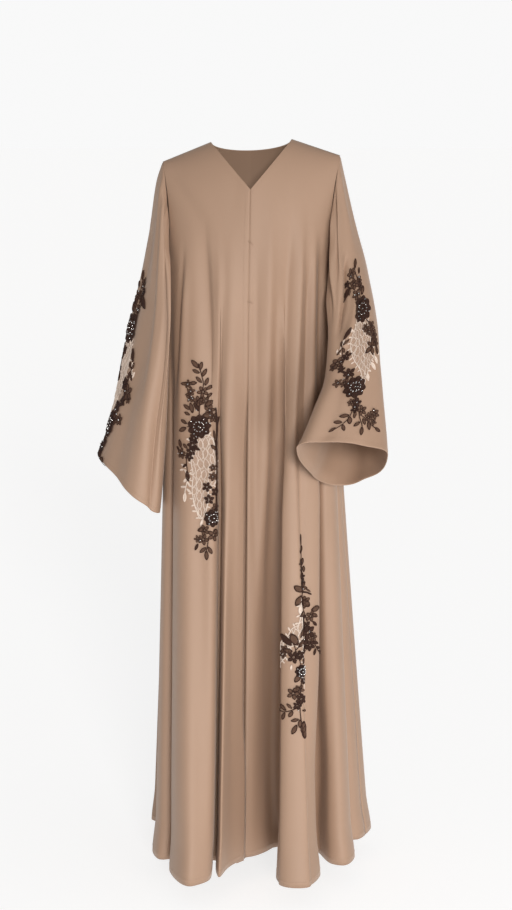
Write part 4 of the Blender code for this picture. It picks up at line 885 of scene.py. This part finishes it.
# ================================================================ the flower sprays
# Dark brown corded leaves with a sheer field, small flowers and rosettes worked in seed beads, and silver
# beads scattered over them, on twining stems. Each spray is sewn over its lace patch. All rows are in
# millimetres from the spray's middle: across to the viewer's right and down the cloth.
SPRAYS = {
    "hip": {
        "stems": (
            ((0, -20), (3, -62), (8, -85), (4, -105), (0, -120), (-2, -127)),
            ((-4, -44), (-20, -60), (-28, -82)), ((-8, 0), (-26, 2)),
            ((-13, 20), (-12, 42), (-24, 52), (-26, 72), (-24, 88), (-22, 108)),
            ((36, -14), (38, 6), (38, 37)), ((19, 232), (17, 244), (15, 252)),
            ((-24, 60), (-36, 60), (-44, 52))),
        "branches": (
            ((34, -38), (36, -14), (38, 10), (38, 37), (38, 68), (38, 109), (37, 150), (36, 178)),
            ((33, 27), (35, 42), (37, 60))),
        "leaves": (  # foot across and down, length, way it points (0 right, 90 down), kind where not plain
            (-1, -117, 20, -135), (1, -113, 16, -76), (1, -107, 15, -157), (5, -100, 17, -60),
            (5, -88, 15, -135), (11, -82, 16, -67), (13, -74, 15, -34), (15, -57, 13, -50),
            (-24, -84, 15, 180), (-22, -85, 16, -10), (-18, -66, 12, 160), (-19, -33, 16, -150),
            (-19, -22, 13, -160), (-13, -26, 20, -105), (1, -30, 18, -125, "dark"), (10, -40, 20, -35),
            (6, -22, 22, -3, "sheer"), (-26, -4, 15, -155), (-27, 4, 19, 157), (-41, 46, 16, -110),
            (-24, 46, 13, -140), (-47, 52, 11, -145), (-25, 76, 12, 140, "dark"), (-25, 90, 20, 82, "dark"),
            (38, -6, 13, -70, "slim"), (33, 27, 18, -100, "slim"), (35, 47, 14, -135),
            (-2, 236, 14, 115, "dark"), (15, 244, 16, 142), (15, 250, 18, 88), (19, 242, 15, 66),
            (-14, 26, 13, 30, "dark"), (-12, 42, 14, 20, "dark"), (12, 205, 15, 160, "sheer"),
            (30, 208, 14, 30, "sheer"), (-4, -40, 18, -60, "sheer")),
        "flowers": (  # across, down, radius, kind where not plain
            (-24, -84, 7), (-17, -70, 7), (-19, -56, 7), (7, -70, 9, "sheer"), (21, -33, 9),
            (-13, 37, 9, "dark"), (-40, 57, 9), (29, 82, 6), (29, 100, 7), (17, 121, 8, "dark"),
            (35, 131, 8, "dark"), (21, 146, 8, "dark"), (36, 163, 8), (11, 209, 9, "sheer"), (9, 228, 9),
            (30, 219, 10), (-3, 227, 6), (-11, 24, 8, "dark"), (-16, 50, 8, "dark"), (-20, 62, 7, "dark"),
            (-2, -50, 9, "sheer"), (13, -52, 8), (29, -18, 8, "sheer")),
        "rosettes": ((0, 0, 22), (29, 184, 17)),
        "silver": (
            (-24, -84), (-5, -72), (-17, -70), (-15, -60), (-13, -56), (-21, -53), (-5, -33), (21, -33),
            (22, -23), (1, -8), (15, -8), (22, -7), (3, 2), (-5, 20), (-49, 58), (-37, 56), (33, 172),
            (40, 190), (2, 230)),
    },
    "knee": {
        "stems": (
            ((-4, -200), (-4, -172), (-2, -150), (0, -121), (4, -100), (4, -80), (6, -64), (16, -39),
             (24, -14), (22, 6), (16, 29)), ((-2, 68), (-2, 94), (-4, 125), (-4, 156), (0, 187), (4, 211)),
            ((30, 16), (43, 29), (51, 41), (71, 55)), ((-37, 4), (-20, 18), (-12, 39), (-6, 53), (-2, 68)),
            ((-8, 150), (-22, 156), (-37, 160), (-53, 158), (-58, 150)), ((-14, 33), (-2, 16), (4, 0))),
        "branches": (((4, -84), (16, -82), (28, -76)),),
        "leaves": (
            (-4, -180, 20, -88, "slim"), (-2, -164, 14, -75), (-3, -163, 12, -150), (2, -138, 14, -80),
            (8, -124, 12, -95), (-6, -86, 20, -145, "sheer"), (-6, -79, 22, 120, "sheer"),
            (14, -90, 13, 35, "slim"), (8, -68, 22, 42, "sheer"), (30, -43, 20, -8, "sheer"),
            (32, -37, 16, 35), (35, -20, 14, 45, "dark"), (38, 22, 15, 25, "dark"), (47, 35, 13, 22, "dark"),
            (45, 37, 13, 105, "dark"), (59, 45, 15, 38, "dark"), (-22, 23, 30, -140, "dark"),
            (-28, 12, 12, 160), (-10, 23, 26, -122, "sheer"), (-8, 27, 18, -55), (-5, 8, 20, -72, "slim"),
            (-20, 35, 18, 185, "sheer"), (2, 62, 12, -80), (-4, 82, 18, 125, "sheer"), (-20, 152, 13, -140),
            (-32, 157, 17, -145), (-35, 161, 16, 112), (-18, 157, 14, 125, "sheer"), (0, 156, 10, 10),
            (-6, 174, 15, 168), (-4, 174, 16, 92), (-10, 185, 20, 117), (4, 178, 24, 95), (6, 186, 26, 90),
            (-10, -112, 14, -70, "sheer"), (6, -44, 15, 150, "sheer"), (-4, 110, 15, 160, "sheer")),
        "flowers": (
            (-8, -144, 7), (2, -115, 7, "dark"), (6, -92, 9, "sheer"), (14, -62, 10), (10, -31, 8, "dark"),
            (30, -31, 9, "sheer"), (26, 2, 12, "dark"), (16, 29, 12, "dark"), (32, 29, 9, "dark"),
            (-37, 33, 8, "sheer"), (-41, 43, 7), (-18, 47, 10, "dark"), (-6, 43, 8, "dark"),
            (-18, 121, 10, "sheer"), (-6, 113, 8), (-2, 133, 9, "dark"), (-4, -130, 7, "sheer"),
            (4, -104, 7, "dark"), (20, -12, 9, "dark"), (38, 14, 8), (-10, 146, 7, "dark"),
            (4, 96, 6, "dark")),
        "rosettes": ((-1, 76, 13),),
        "silver": (
            (6, -114), (6, -106), (0, -91), (28, 0), (14, 14), (2, 68), (-6, 80), (-2, 88), (-8, 155),
            (4, 74)),
    },
    "sleeve": {
        "stems": (
            ((0, -23), (-2, -44), (-5, -65), (-2, -86), (4, -97)), ((-12, -63), (-28, -67), (-38, -69)),
            ((5, 20), (20, 40), (25, 57), (28, 72), (30, 80)), ((-57, 57), (-55, 78), (-57, 95)),
            ((-46, 88), (-55, 116), (-37, 132), (-18, 168), (-14, 214)),
            ((-18, 214), (-23, 231), (-32, 244), (-41, 252), (-53, 260)),
            ((-5, 218), (0, 233), (7, 246), (9, 262)), ((0, 225), (14, 233), (30, 244), (50, 254))),
        "branches": (((-46, 88), (-58, 104), (-55, 118), (-42, 132)), ((-16, 172), (-15, 196), (-8, 214))),
        "leaves": (
            (-2, -84, 17, -65), (5, -70, 12, -60), (-28, -61, 28, 148, "dark"), (-28, -58, 14, 120),
            (5, -27, 17, -60, "sheer"), (30, 80, 14, 75), (18, 80, 20, 145), (18, 80, 16, 88),
            (18, 80, 14, -135), (18, 80, 16, -80), (-55, 48, 22, -58, "dark"), (-55, 59, 13, -35),
            (-58, 60, 12, -100), (-58, 66, 12, 130), (-55, 64, 12, 70), (-12, 218, 14, 92),
            (-23, 227, 18, 178), (-23, 229, 16, 78, "sheer"), (-35, 242, 16, 190), (-34, 246, 15, 68),
            (-46, 252, 14, 142), (8, 250, 17, 88), (2, 240, 15, 140), (7, 232, 14, 60), (21, 237, 17, 72),
            (39, 248, 14, 30)),
        "flowers": (
            (-18, 6, 11, "dark"), (-14, -15, 9, "dark"), (-14, -80, 9, "sheer"), (-16, -57, 9),
            (-32, -69, 6, "dark"), (-16, -34, 9), (2, -57, 8), (5, -44, 7), (20, 40, 9), (25, 57, 9),
            (28, 72, 8), (4, 40, 7), (11, 49, 6), (-46, 88, 9, "dark"), (-64, 97, 11), (-71, 105, 7),
            (-55, 116, 7, "dark"), (-37, 132, 10, "dark"), (-60, 147, 8), (-44, 151, 8),
            (-12, 200, 8, "dark"), (-23, 199, 7), (-14, 214, 7, "dark"), (2, 216, 9, "sheer"), (21, 229, 8),
            (34, 220, 9), (34, 237, 6)),
        "rosettes": ((0, 0, 24), (-21, 166, 22)),
        "silver": (
            (-18, -76), (-2, -65), (-22, -35), (-12, -36), (-14, -13), (-21, -2), (-18, 8), (18, 10),
            (-57, 97), (-38, 136), (-48, 141), (-60, 147), (-30, 162), (-21, 158), (-16, 166), (-25, 176),
            (-18, 174), (-13, 200), (-16, 210), (30, 214)),
    },
}
SLENDER = {"plain": 0.46, "dark": 0.42, "sheer": 0.58, "slim": 0.26}   # a leaf's width over its length
FULL_FLOWER, FULL_LEAF = 1.35, 1.12      # flowers and leaves overlap: they are larger than their rows say
STEM, BRANCH = 1.0, 1.9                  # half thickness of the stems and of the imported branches
SPRAY_HEIGHT = 1.0                       # the embroidery lies over the lace
LEAF_SHAKE, PETAL_RISE = 0.4, 0.2        # how much higher some leaves lie, and the petals
VEIN, VEIN_RISE, VEIN_REACH = 0.36, 0.35, 0.92   # a leaf's vein: half thickness, height, share of its length
SEED, SILVER = 0.85, 1.35                # radius of the dark seed beads and of the silver ones
BRANCH_BEADS, BRANCH_END = 1.9, 1.5      # seed beads are packed this far apart on a branch and from its ends
BEAD_WANDER, BEAD_SITS = 1.6, 0.8        # how far off its line they lie; how high a bead sits, in its radii
PETAL_SLENDER, PETAL_CUP = 0.72, 0.06    # a petal's width over its length, and how it rises at its tip
PETAL_FOOT = 0.12                        # a petal starts this part of the radius from the middle
FLOWER_TURN, ROSETTE_TURN = 72, 50       # flowers and rosettes are turned by up to these degrees
SIX_PETALS = 0.4                         # share of the flowers with six petals, where the rest have five
FLOWER_RINGS = ((0.34, 5, 36, 0.6), (0.66, 9, 0, 0.9))   # seed beads: part of the radius, count, turn, height
FLOWER_MIDDLE = 1.2                      # height of the seed bead in its middle
# A rosette's petals, outer and inner: size over its radius, count, turn, foot, slenderness, height and cup.
ROSETTE_PETALS = ((1.12, 9, 0, 0.3, 0.92, 0.0, 0.05), (0.70, 7, 20, 0.1, 0.90, 1.0, 0.12))
ROSETTE_SEEDS = ((0.88, 30), (0.72, 26), (0.56, 20), (0.40, 14), (0.26, 9), (0.12, 4))   # rings: part, count
ROSETTE_RIM, ROSETTE_DOME = 1.0, 1.6     # height of the seed beads at its rim, and more in its middle
ROSETTE_SHAKE, ROSETTE_TWIST = 0.5, 7    # how far they lie off their ring, and how the rings are turned
ROSETTE_SILVER = ((0.46, 11, 10, 2.2), (0.80, 4, 33, 1.8))   # rings: part, count, turn, height
SILVER_RISE, SILVER_TOP = 1.6, 3.0       # height of the silver beads, and of the one in a rosette's middle
BEAD_PATCHES, BEAD_DARK = 420.0, 0.55    # how fine the unevenness of the glass is, and its darkest share
FIRST_SPRAY_SEED = 11


def bead_pattern(segments, rings):
    deselect()
    bpy.ops.mesh.primitive_uv_sphere_add(segments=segments, ring_count=rings, radius=1, location=(0, 0, 0))
    return taken(bpy.context.object)


SEED_BEAD, SILVER_BEAD = bead_pattern(6, 4), bead_pattern(8, 5)
FIELD_FACES = np.array([all(LEAF_FIELD[corner] for corner in face) for face in LEAF[1]])


def beads(places, radius, pattern):
    """Copies of a bead at places across, down and above the cloth."""
    points, faces = pattern
    return [(points * radius + (x, y, height + radius * BEAD_SITS), faces) for x, y, height in places]


def around(x, y, radius, count, start=0.0):
    """Places on a circle."""
    turns = math.radians(start) + 2 * math.pi * np.arange(count) / count
    return [(x + radius * math.cos(t), y + radius * math.sin(t)) for t in turns]


def petals(x, y, radius, count, start, foot=PETAL_FOOT):
    """Rows of leaves that stand round a middle like petals."""
    feet = around(x, y, foot * radius, count, start)
    return [(*at, radius * (1 - foot), start + 360 * k / count) for k, at in enumerate(feet)]


def spray_parts(spray, seed):
    """The thread work with its tones (0 dark cord, 1 sheer field), the seed beads and the silver beads."""
    chance = random.Random(seed)
    work, tones, seeds = [], [], []

    def add(parts, field=0):
        for part in parts:
            work.append(part)
            tones.extend(np.where(FIELD_FACES, field, 0) if part[1] is LEAF[1] else [0] * len(part[1]))

    def ringed(x, y, radius, rings, start=0.0):
        return [(*at, SPRAY_HEIGHT + up) for part, count, turn, up in rings
                for at in around(x, y, radius * part, count, start + turn)]

    for stem in spray["stems"]:
        add([cord_along(stem, STEM, SPRAY_HEIGHT)])
    for branch in spray["branches"]:
        add([cord_along(branch, BRANCH, SPRAY_HEIGHT, sides=6)])
        line = np.array(branch, float)
        length = running(line)
        for at in np.arange(BRANCH_END, length[-1] - BRANCH_END, BRANCH_BEADS):
            x, y = read(line, length, at)
            seeds.append((x + chance.uniform(-BEAD_WANDER, BEAD_WANDER), y, SPRAY_HEIGHT + BRANCH))
    for row in spray["leaves"]:
        foot_x, foot_y, length, way, kind = (*row, "plain")[:5]
        parts = leaves([(foot_x, foot_y, length * FULL_LEAF, way)], SLENDER[kind],
                       SPRAY_HEIGHT + chance.uniform(0, LEAF_SHAKE))
        add(parts, 0 if kind == "dark" else 1)
        turn, reach = math.radians(way), VEIN_REACH * length
        vein = [(foot_x, foot_y), (foot_x + reach * math.cos(turn), foot_y + reach * math.sin(turn))]
        add([cord_along(vein, VEIN, SPRAY_HEIGHT + VEIN_RISE, sides=4, step=4.0)])
    for row in spray["flowers"]:
        x, y, petal, kind = (*row, "plain")[:4]
        radius = petal * FULL_FLOWER
        count, start = (5, 6)[chance.random() < SIX_PETALS], chance.uniform(0, FLOWER_TURN)
        add(leaves(petals(x, y, radius, count, start), PETAL_SLENDER, SPRAY_HEIGHT + PETAL_RISE,
                   cup=PETAL_CUP),
            0 if kind == "dark" else 1)
        seeds += ringed(x, y, radius, FLOWER_RINGS[:1], start) + [(x, y, SPRAY_HEIGHT + FLOWER_MIDDLE)]
        if kind == "dark":
            seeds += ringed(x, y, radius, FLOWER_RINGS[1:], start)
    for x, y, radius in spray["rosettes"]:
        start = chance.uniform(0, ROSETTE_TURN)
        for size, count, turn, foot, slender, up, cup in ROSETTE_PETALS:
            rows = petals(x, y, radius * size, count, start + turn, foot)
            add(leaves(rows, slender, SPRAY_HEIGHT + up, cup=cup))
        for part, count in ROSETTE_SEEDS:
            for at in around(x, y, radius * part, count, start * part * ROSETTE_TWIST):
                seeds.append((at[0] + chance.uniform(-ROSETTE_SHAKE, ROSETTE_SHAKE),
                              at[1] + chance.uniform(-ROSETTE_SHAKE, ROSETTE_SHAKE),
                              SPRAY_HEIGHT + ROSETTE_RIM + ROSETTE_DOME * (1 - part)))
    silver = [(x, y, SPRAY_HEIGHT + SILVER_RISE) for x, y in spray["silver"]]
    for x, y, radius in spray["rosettes"]:
        silver += ringed(x, y, radius, ROSETTE_SILVER) + [(x, y, SPRAY_HEIGHT + SILVER_TOP)]
    return work, tones, seeds, silver


def bead_glass(name, colour, metallic, roughness):
    """Polished glass, faintly uneven from bead to bead."""
    material, nodes, links, shader = finish(name, {
        "Metallic": metallic, "Roughness": roughness, "Specular IOR Level": 0.22})
    place = nodes.new("ShaderNodeTexCoord")
    patches = texture(nodes, links, "Noise", place.outputs["Object"], Scale=BEAD_PATCHES, Detail=1)
    shaded(nodes, links, shader, patches, [part * BEAD_DARK for part in colour], colour)
    return material


dark_thread = thread_material("dark_brown_thread", (0.054, 0.025, 0.017), (0.026, 0.012, 0.008), 0.8, 0.0006)
sheer_field = thread_material("sheer_brown_net", (0.120, 0.066, 0.044), (0.058, 0.031, 0.020), 0.85, 0.0010)
seed_glass = bead_glass("dark_seed_beads", (0.024, 0.012, 0.012), 0.0, 0.38)
silver_glass = bead_glass("silver_beads", (0.90, 0.88, 0.86), 0.85, 0.16)

spray_pieces = {}
for number, (place, ground) in enumerate(GROUNDS.items()):
    work, tones, seeds, silver = spray_parts(SPRAYS[place.split("_")[0]], number + FIRST_SPRAY_SEED)
    name = "spray_" + place
    thread = cloth_piece(name + "_thread", work, ground, [dark_thread, sheer_field], tones)
    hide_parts(name)
    spray_pieces[place] = [
        thread, cloth_piece(name + "_seed_beads", beads(seeds, SEED, SEED_BEAD), ground, [seed_glass]),
        cloth_piece(name + "_silver_beads", beads(silver, SILVER, SILVER_BEAD), ground, [silver_glass])]


# ================================================================ the topstitching
# One row of matching thread round the neckline, down the fronts, above the cuffs and above the hem, sewn
# through all layers. Every stitch is a small plump spindle that sinks into the crepe at both ends.
STITCH, STITCH_GAP, STITCH_THICK = 0.0030, 0.0013, 0.00033
# A stitch's rings: part of its length, thickness and height, both over its half thickness.
STITCH_RINGS = ((0.0, 0.45, -0.4), (0.22, 1.0, 0.5), (0.78, 1.0, 0.5), (1.0, 0.45, -0.4))
NECK_STITCH_IN, FRONT_STITCH_IN, CUFF_STITCH_IN, HEM_STITCH_IN = 0.010, 0.011, 0.0095, 0.012


def stitched(path, ways):
    """Spindles along a path in space, with the cloth's outward direction at each of its points."""
    length = running(path)
    faces = [(4 * k + m, 4 * k + (m + 1) % 4, 4 * k + 4 + (m + 1) % 4, 4 * k + 4 + m)
             for k in range(3) for m in range(4)] + [(3, 2, 1, 0), (12, 13, 14, 15)]
    parts = []
    for start in np.arange(STITCH_GAP, length[-1] - STITCH, STITCH + STITCH_GAP):
        first, last = read(path, length, np.array([start, start + STITCH]))
        out = unit(read(ways, length, start + STITCH / 2)) * STITCH_THICK
        side = unit(np.cross(last - first, out)) * STITCH_THICK
        rings = []
        for part, thick, up in STITCH_RINGS:
            middle = first + (last - first) * part + out * up
            rings += [middle + way * thick for way in (side, out, -side, -out)]
        parts.append((rings, faces))
    return parts


def sewn(grid, ways, inset, from_hem=False, closed=False):
    """One row of stitches across the columns, at this inset from their top edge, or from the hem or cuff."""
    if from_hem:
        grid, ways = grid[:, ::-1], ways[:, ::-1]
    rows = np.arange(grid.shape[1])
    at = [np.interp(inset, distance, rows) for distance in from_top(grid)]
    path, out = (np.array([read(field[u], rows, at[u]) for u in range(len(at))]) for field in (grid, ways))
    if closed:
        path, out = (np.concatenate([line, line[:1]]) for line in (path, out))
    return stitched(path, out)


matching_thread = crepe.copy()
matching_thread.name = "matching_thread"
matching_thread.node_tree.nodes["Principled BSDF"].inputs["Roughness"].default_value = 0.55


def stitching(name, parts):
    piece = new_piece(name, *joined(parts), matching_thread)
    turn_outwards()
    bpy.ops.object.shade_smooth()
    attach(piece, "root")
    return piece


# Down the right front's edge the rows and columns of the cloth change places.
neck_right = column_of(NECK_AT)
down_edge = from_top(right_cloth)[2] > NECK_STITCH_IN
along_neck = slice(2, neck_right)
front_parts = sewn(right_cloth.transpose(1, 0, 2)[down_edge], right_normals.transpose(1, 0, 2)[down_edge],
                   FRONT_STITCH_IN)
front_parts += sewn(right_cloth[along_neck], right_normals[along_neck], NECK_STITCH_IN)
front_parts += sewn(right_cloth[2:-1], right_normals[2:-1], HEM_STITCH_IN, from_hem=True)

before_lap = len(left_cloth) - LAP_COLUMNS
along_neck, along_hem = slice(before_lap - neck_right + 1, before_lap - 1), slice(1, before_lap - 2)
left_parts = sewn(left_cloth[along_neck], left_normals[along_neck], NECK_STITCH_IN)
left_parts += sewn(left_cloth[along_hem], left_normals[along_hem], HEM_STITCH_IN, from_hem=True)

back_angles = np.interp(columns[side_right:side_left + 1], KNOTS, ANGLES)
along_neck = (back_angles > 180 - NECK_AT) & (back_angles < 180 + NECK_AT)
back_parts = sewn(back_cloth[along_neck], back_normals[along_neck], NECK_STITCH_IN)
back_parts += sewn(back_cloth[1:-1], back_normals[1:-1], HEM_STITCH_IN, from_hem=True)

stitches = {"front_right": stitching("stitching_front_right", front_parts),
            "front_left": stitching("stitching_front_left", left_parts),
            "back": stitching("stitching_back", back_parts)}
for side, grid, ways in (("right", right_sleeve, right_sleeve_way), ("left", left_sleeve, left_sleeve_way)):
    stitches["sleeve_" + side] = stitching("stitching_cuff_" + side, sewn(
        grid, ways, CUFF_STITCH_IN, from_hem=True, closed=True))


# ================================================================ the thread loops and the cut of the cloth
# Two short loops of three plied threads, worked on the right front's edge and caught on the left front, hold
# the lap closed at the chest.
FASTENINGS = (("fastening_upper", -0.200), ("fastening_lower", -0.312))
# A loop's line: along the cloth from the right front's edge, off its face and down, in millimetres.
LOOP_LINE = ((-3, 1.2, 0), (0, 1.4, -0.3), (3, -0.2, -1.2), (6, -1.6, -2.6), (8, -1.8, -3.6))
PLIES, PLY_RADIUS, PLY_ORBIT, PLY_TURNS, LOOP_STEPS = 3, 0.00032, 0.00030, 5.0, 40


def thread_loop(name, height):
    row = int(np.argmin(np.abs(right_cloth[0, :, 2] - height)))
    start, out = right_cloth[0, row], unit(right_normals[0, row])
    across = unit(right_cloth[0, row] - right_cloth[2, row])
    line = start + np.array(LOOP_LINE) / 1000 @ np.array([across, out, (0, 0, 1)])
    steps = np.linspace(0, 1, LOOP_STEPS)
    middle = spline(running(line) / running(line)[-1], line, steps)
    along = unit(np.gradient(middle, axis=0))
    side = unit(np.cross(along, out))
    other = np.cross(side, along)
    curve = bpy.data.curves.new(name, "CURVE")
    curve.dimensions, curve.use_fill_caps = "3D", True
    curve.bevel_depth, curve.bevel_resolution = PLY_RADIUS, 2
    for ply in range(PLIES):
        turn = (2 * math.pi * (ply / PLIES + PLY_TURNS * steps))[:, None]
        points = middle + (side * np.cos(turn) + other * np.sin(turn)) * PLY_ORBIT
        strand = curve.splines.new("POLY")
        strand.points.add(len(points) - 1)
        strand.points.foreach_set("co", np.column_stack([points, np.ones(len(points))]).ravel())
    drawn = bpy.data.objects.new(name, curve)
    bpy.context.scene.collection.objects.link(drawn)
    keep_only(drawn)
    bpy.ops.object.convert(target="MESH")
    piece = bpy.context.object
    piece.data.materials.append(matching_thread)
    bpy.ops.object.shade_smooth()
    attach(piece, "root")
    return piece


loops = []
for node, height in FASTENINGS:
    loop = thread_loop(node + "_thread", height)
    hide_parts(node)
    loops.append(loop)

# The size that each panel was cut to: width at its widest, length, and the flat area of the shape within it.
CUT = {"front_right": (0.46, 1.50, 0.61), "front_left": (0.56, 1.50, 0.74), "back": (0.98, 1.50, 1.12),
       "sleeve_right": (0.58, 0.66, 0.30), "sleeve_left": (0.58, 0.66, 0.29)}
for name, sheet, place in (("front_right", front_right, "hip"), ("front_left", front_left, "knee"),
                           ("back", back, None), ("sleeve_right", sleeve_right, "sleeve_right"),
                           ("sleeve_left", sleeve_left, "sleeve_left")):
    width, length, area = CUT[name]
    on_it = [stitches[name]] + ([lace_pieces[place], *spray_pieces[place]] if place else [])
    on_it += loops if name == "front_right" else []

# ================================================================ floor, light and camera
# A plain pale studio floor and wall that glow evenly, a soft key light from the front, a weaker one from the
# right and one from below, as from the floor. The hem hangs just clear of the floor.
FLOOR_Z, FLOOR_RADIUS = -1.545, 400
bpy.ops.mesh.primitive_circle_add(vertices=64, radius=FLOOR_RADIUS, fill_type="NGON",
                                  location=(0, 0, FLOOR_Z))
floor = bpy.context.object
floor.name = "floor"
floor_finish, *_ = finish("studio_floor", {
    "Base Color": (0.40, 0.40, 0.40, 1), "Emission Color": (1.0, 1.0, 1.0, 1), "Emission Strength": 0.75,
    "Roughness": 0.9, "Specular IOR Level": 0.1})
floor.data.materials.append(floor_finish)

world = bpy.data.worlds.new("studio")
world.use_nodes = True
bpy.context.scene.world = world
sky, sky_links = world.node_tree.nodes, world.node_tree.links
room_light = sky["Background"]
room_light.inputs["Color"].default_value = (1.0, 0.99, 0.98, 1)
room_light.inputs["Strength"].default_value = 0.30
white_wall = sky.new("ShaderNodeBackground")
white_wall.inputs["Color"].default_value = (0.945, 0.945, 0.945, 1)
seen = sky.new("ShaderNodeLightPath")
either = sky.new("ShaderNodeMixShader")
sky_links.new(seen.outputs["Is Camera Ray"], either.inputs["Fac"])
sky_links.new(room_light.outputs["Background"], either.inputs[1])
sky_links.new(white_wall.outputs["Background"], either.inputs[2])
sky_links.new(either.outputs["Shader"], sky["World Output"].inputs["Surface"])

LAMP_COLOUR = (1.0, 0.98, 0.955)
LIGHTS = (  # name, direction it comes from, strength, how wide the source is in degrees
    ("key_light", (0.14, -1.0, 0.22), 2.15, 14),
    ("side_light", (1.0, -0.4, 0.1), 0.50, 40),
    ("floor_bounce", (0.1, -1.0, -0.8), 0.50, 60),
)
for name, way, strength, width in LIGHTS:
    lamp = bpy.data.lights.new(name, "SUN")
    lamp.energy, lamp.angle, lamp.color = strength, math.radians(width), LAMP_COLOUR
    lamp_object = bpy.data.objects.new(name, lamp)
    lamp_object.rotation_euler = Vector(way).to_track_quat("Z", "Y").to_euler()
    bpy.context.scene.collection.objects.link(lamp_object)

# A round soft box low at the front right brightens the skirt towards its left side.
SOFT_BOX_AT, SOFT_BOX_AIM, SOFT_BOX_SIZE, SOFT_BOX_POWER = (1.0, -1.9, -1.1), (0.12, -0.15, -1.05), 0.9, 11.0
soft_box = bpy.data.lights.new("soft_box", "AREA")
soft_box.shape, soft_box.size, soft_box.energy = "DISK", SOFT_BOX_SIZE, SOFT_BOX_POWER
soft_box_object = bpy.data.objects.new("soft_box", soft_box)
soft_box_object.location = SOFT_BOX_AT
way = Vector(SOFT_BOX_AT) - Vector(SOFT_BOX_AIM)
soft_box_object.rotation_euler = way.to_track_quat("Z", "Y").to_euler()
bpy.context.scene.collection.objects.link(soft_box_object)

# The camera stands at the height of the neck and looks down a little.
CAMERA_AT, CAMERA_TILT, LENS, SENSOR = (0.0144, -3.75, 0.0), 80.2, 72.04, 36.0
camera_data = bpy.data.cameras.new("camera")
camera_data.sensor_width, camera_data.lens = SENSOR, LENS
camera = bpy.data.objects.new("camera", camera_data)
camera.location, camera.rotation_euler = CAMERA_AT, (math.radians(CAMERA_TILT), 0, 0)
bpy.context.scene.collection.objects.link(camera)
bpy.context.scene.camera = camera
bpy.context.scene.view_settings.view_transform = "Standard"
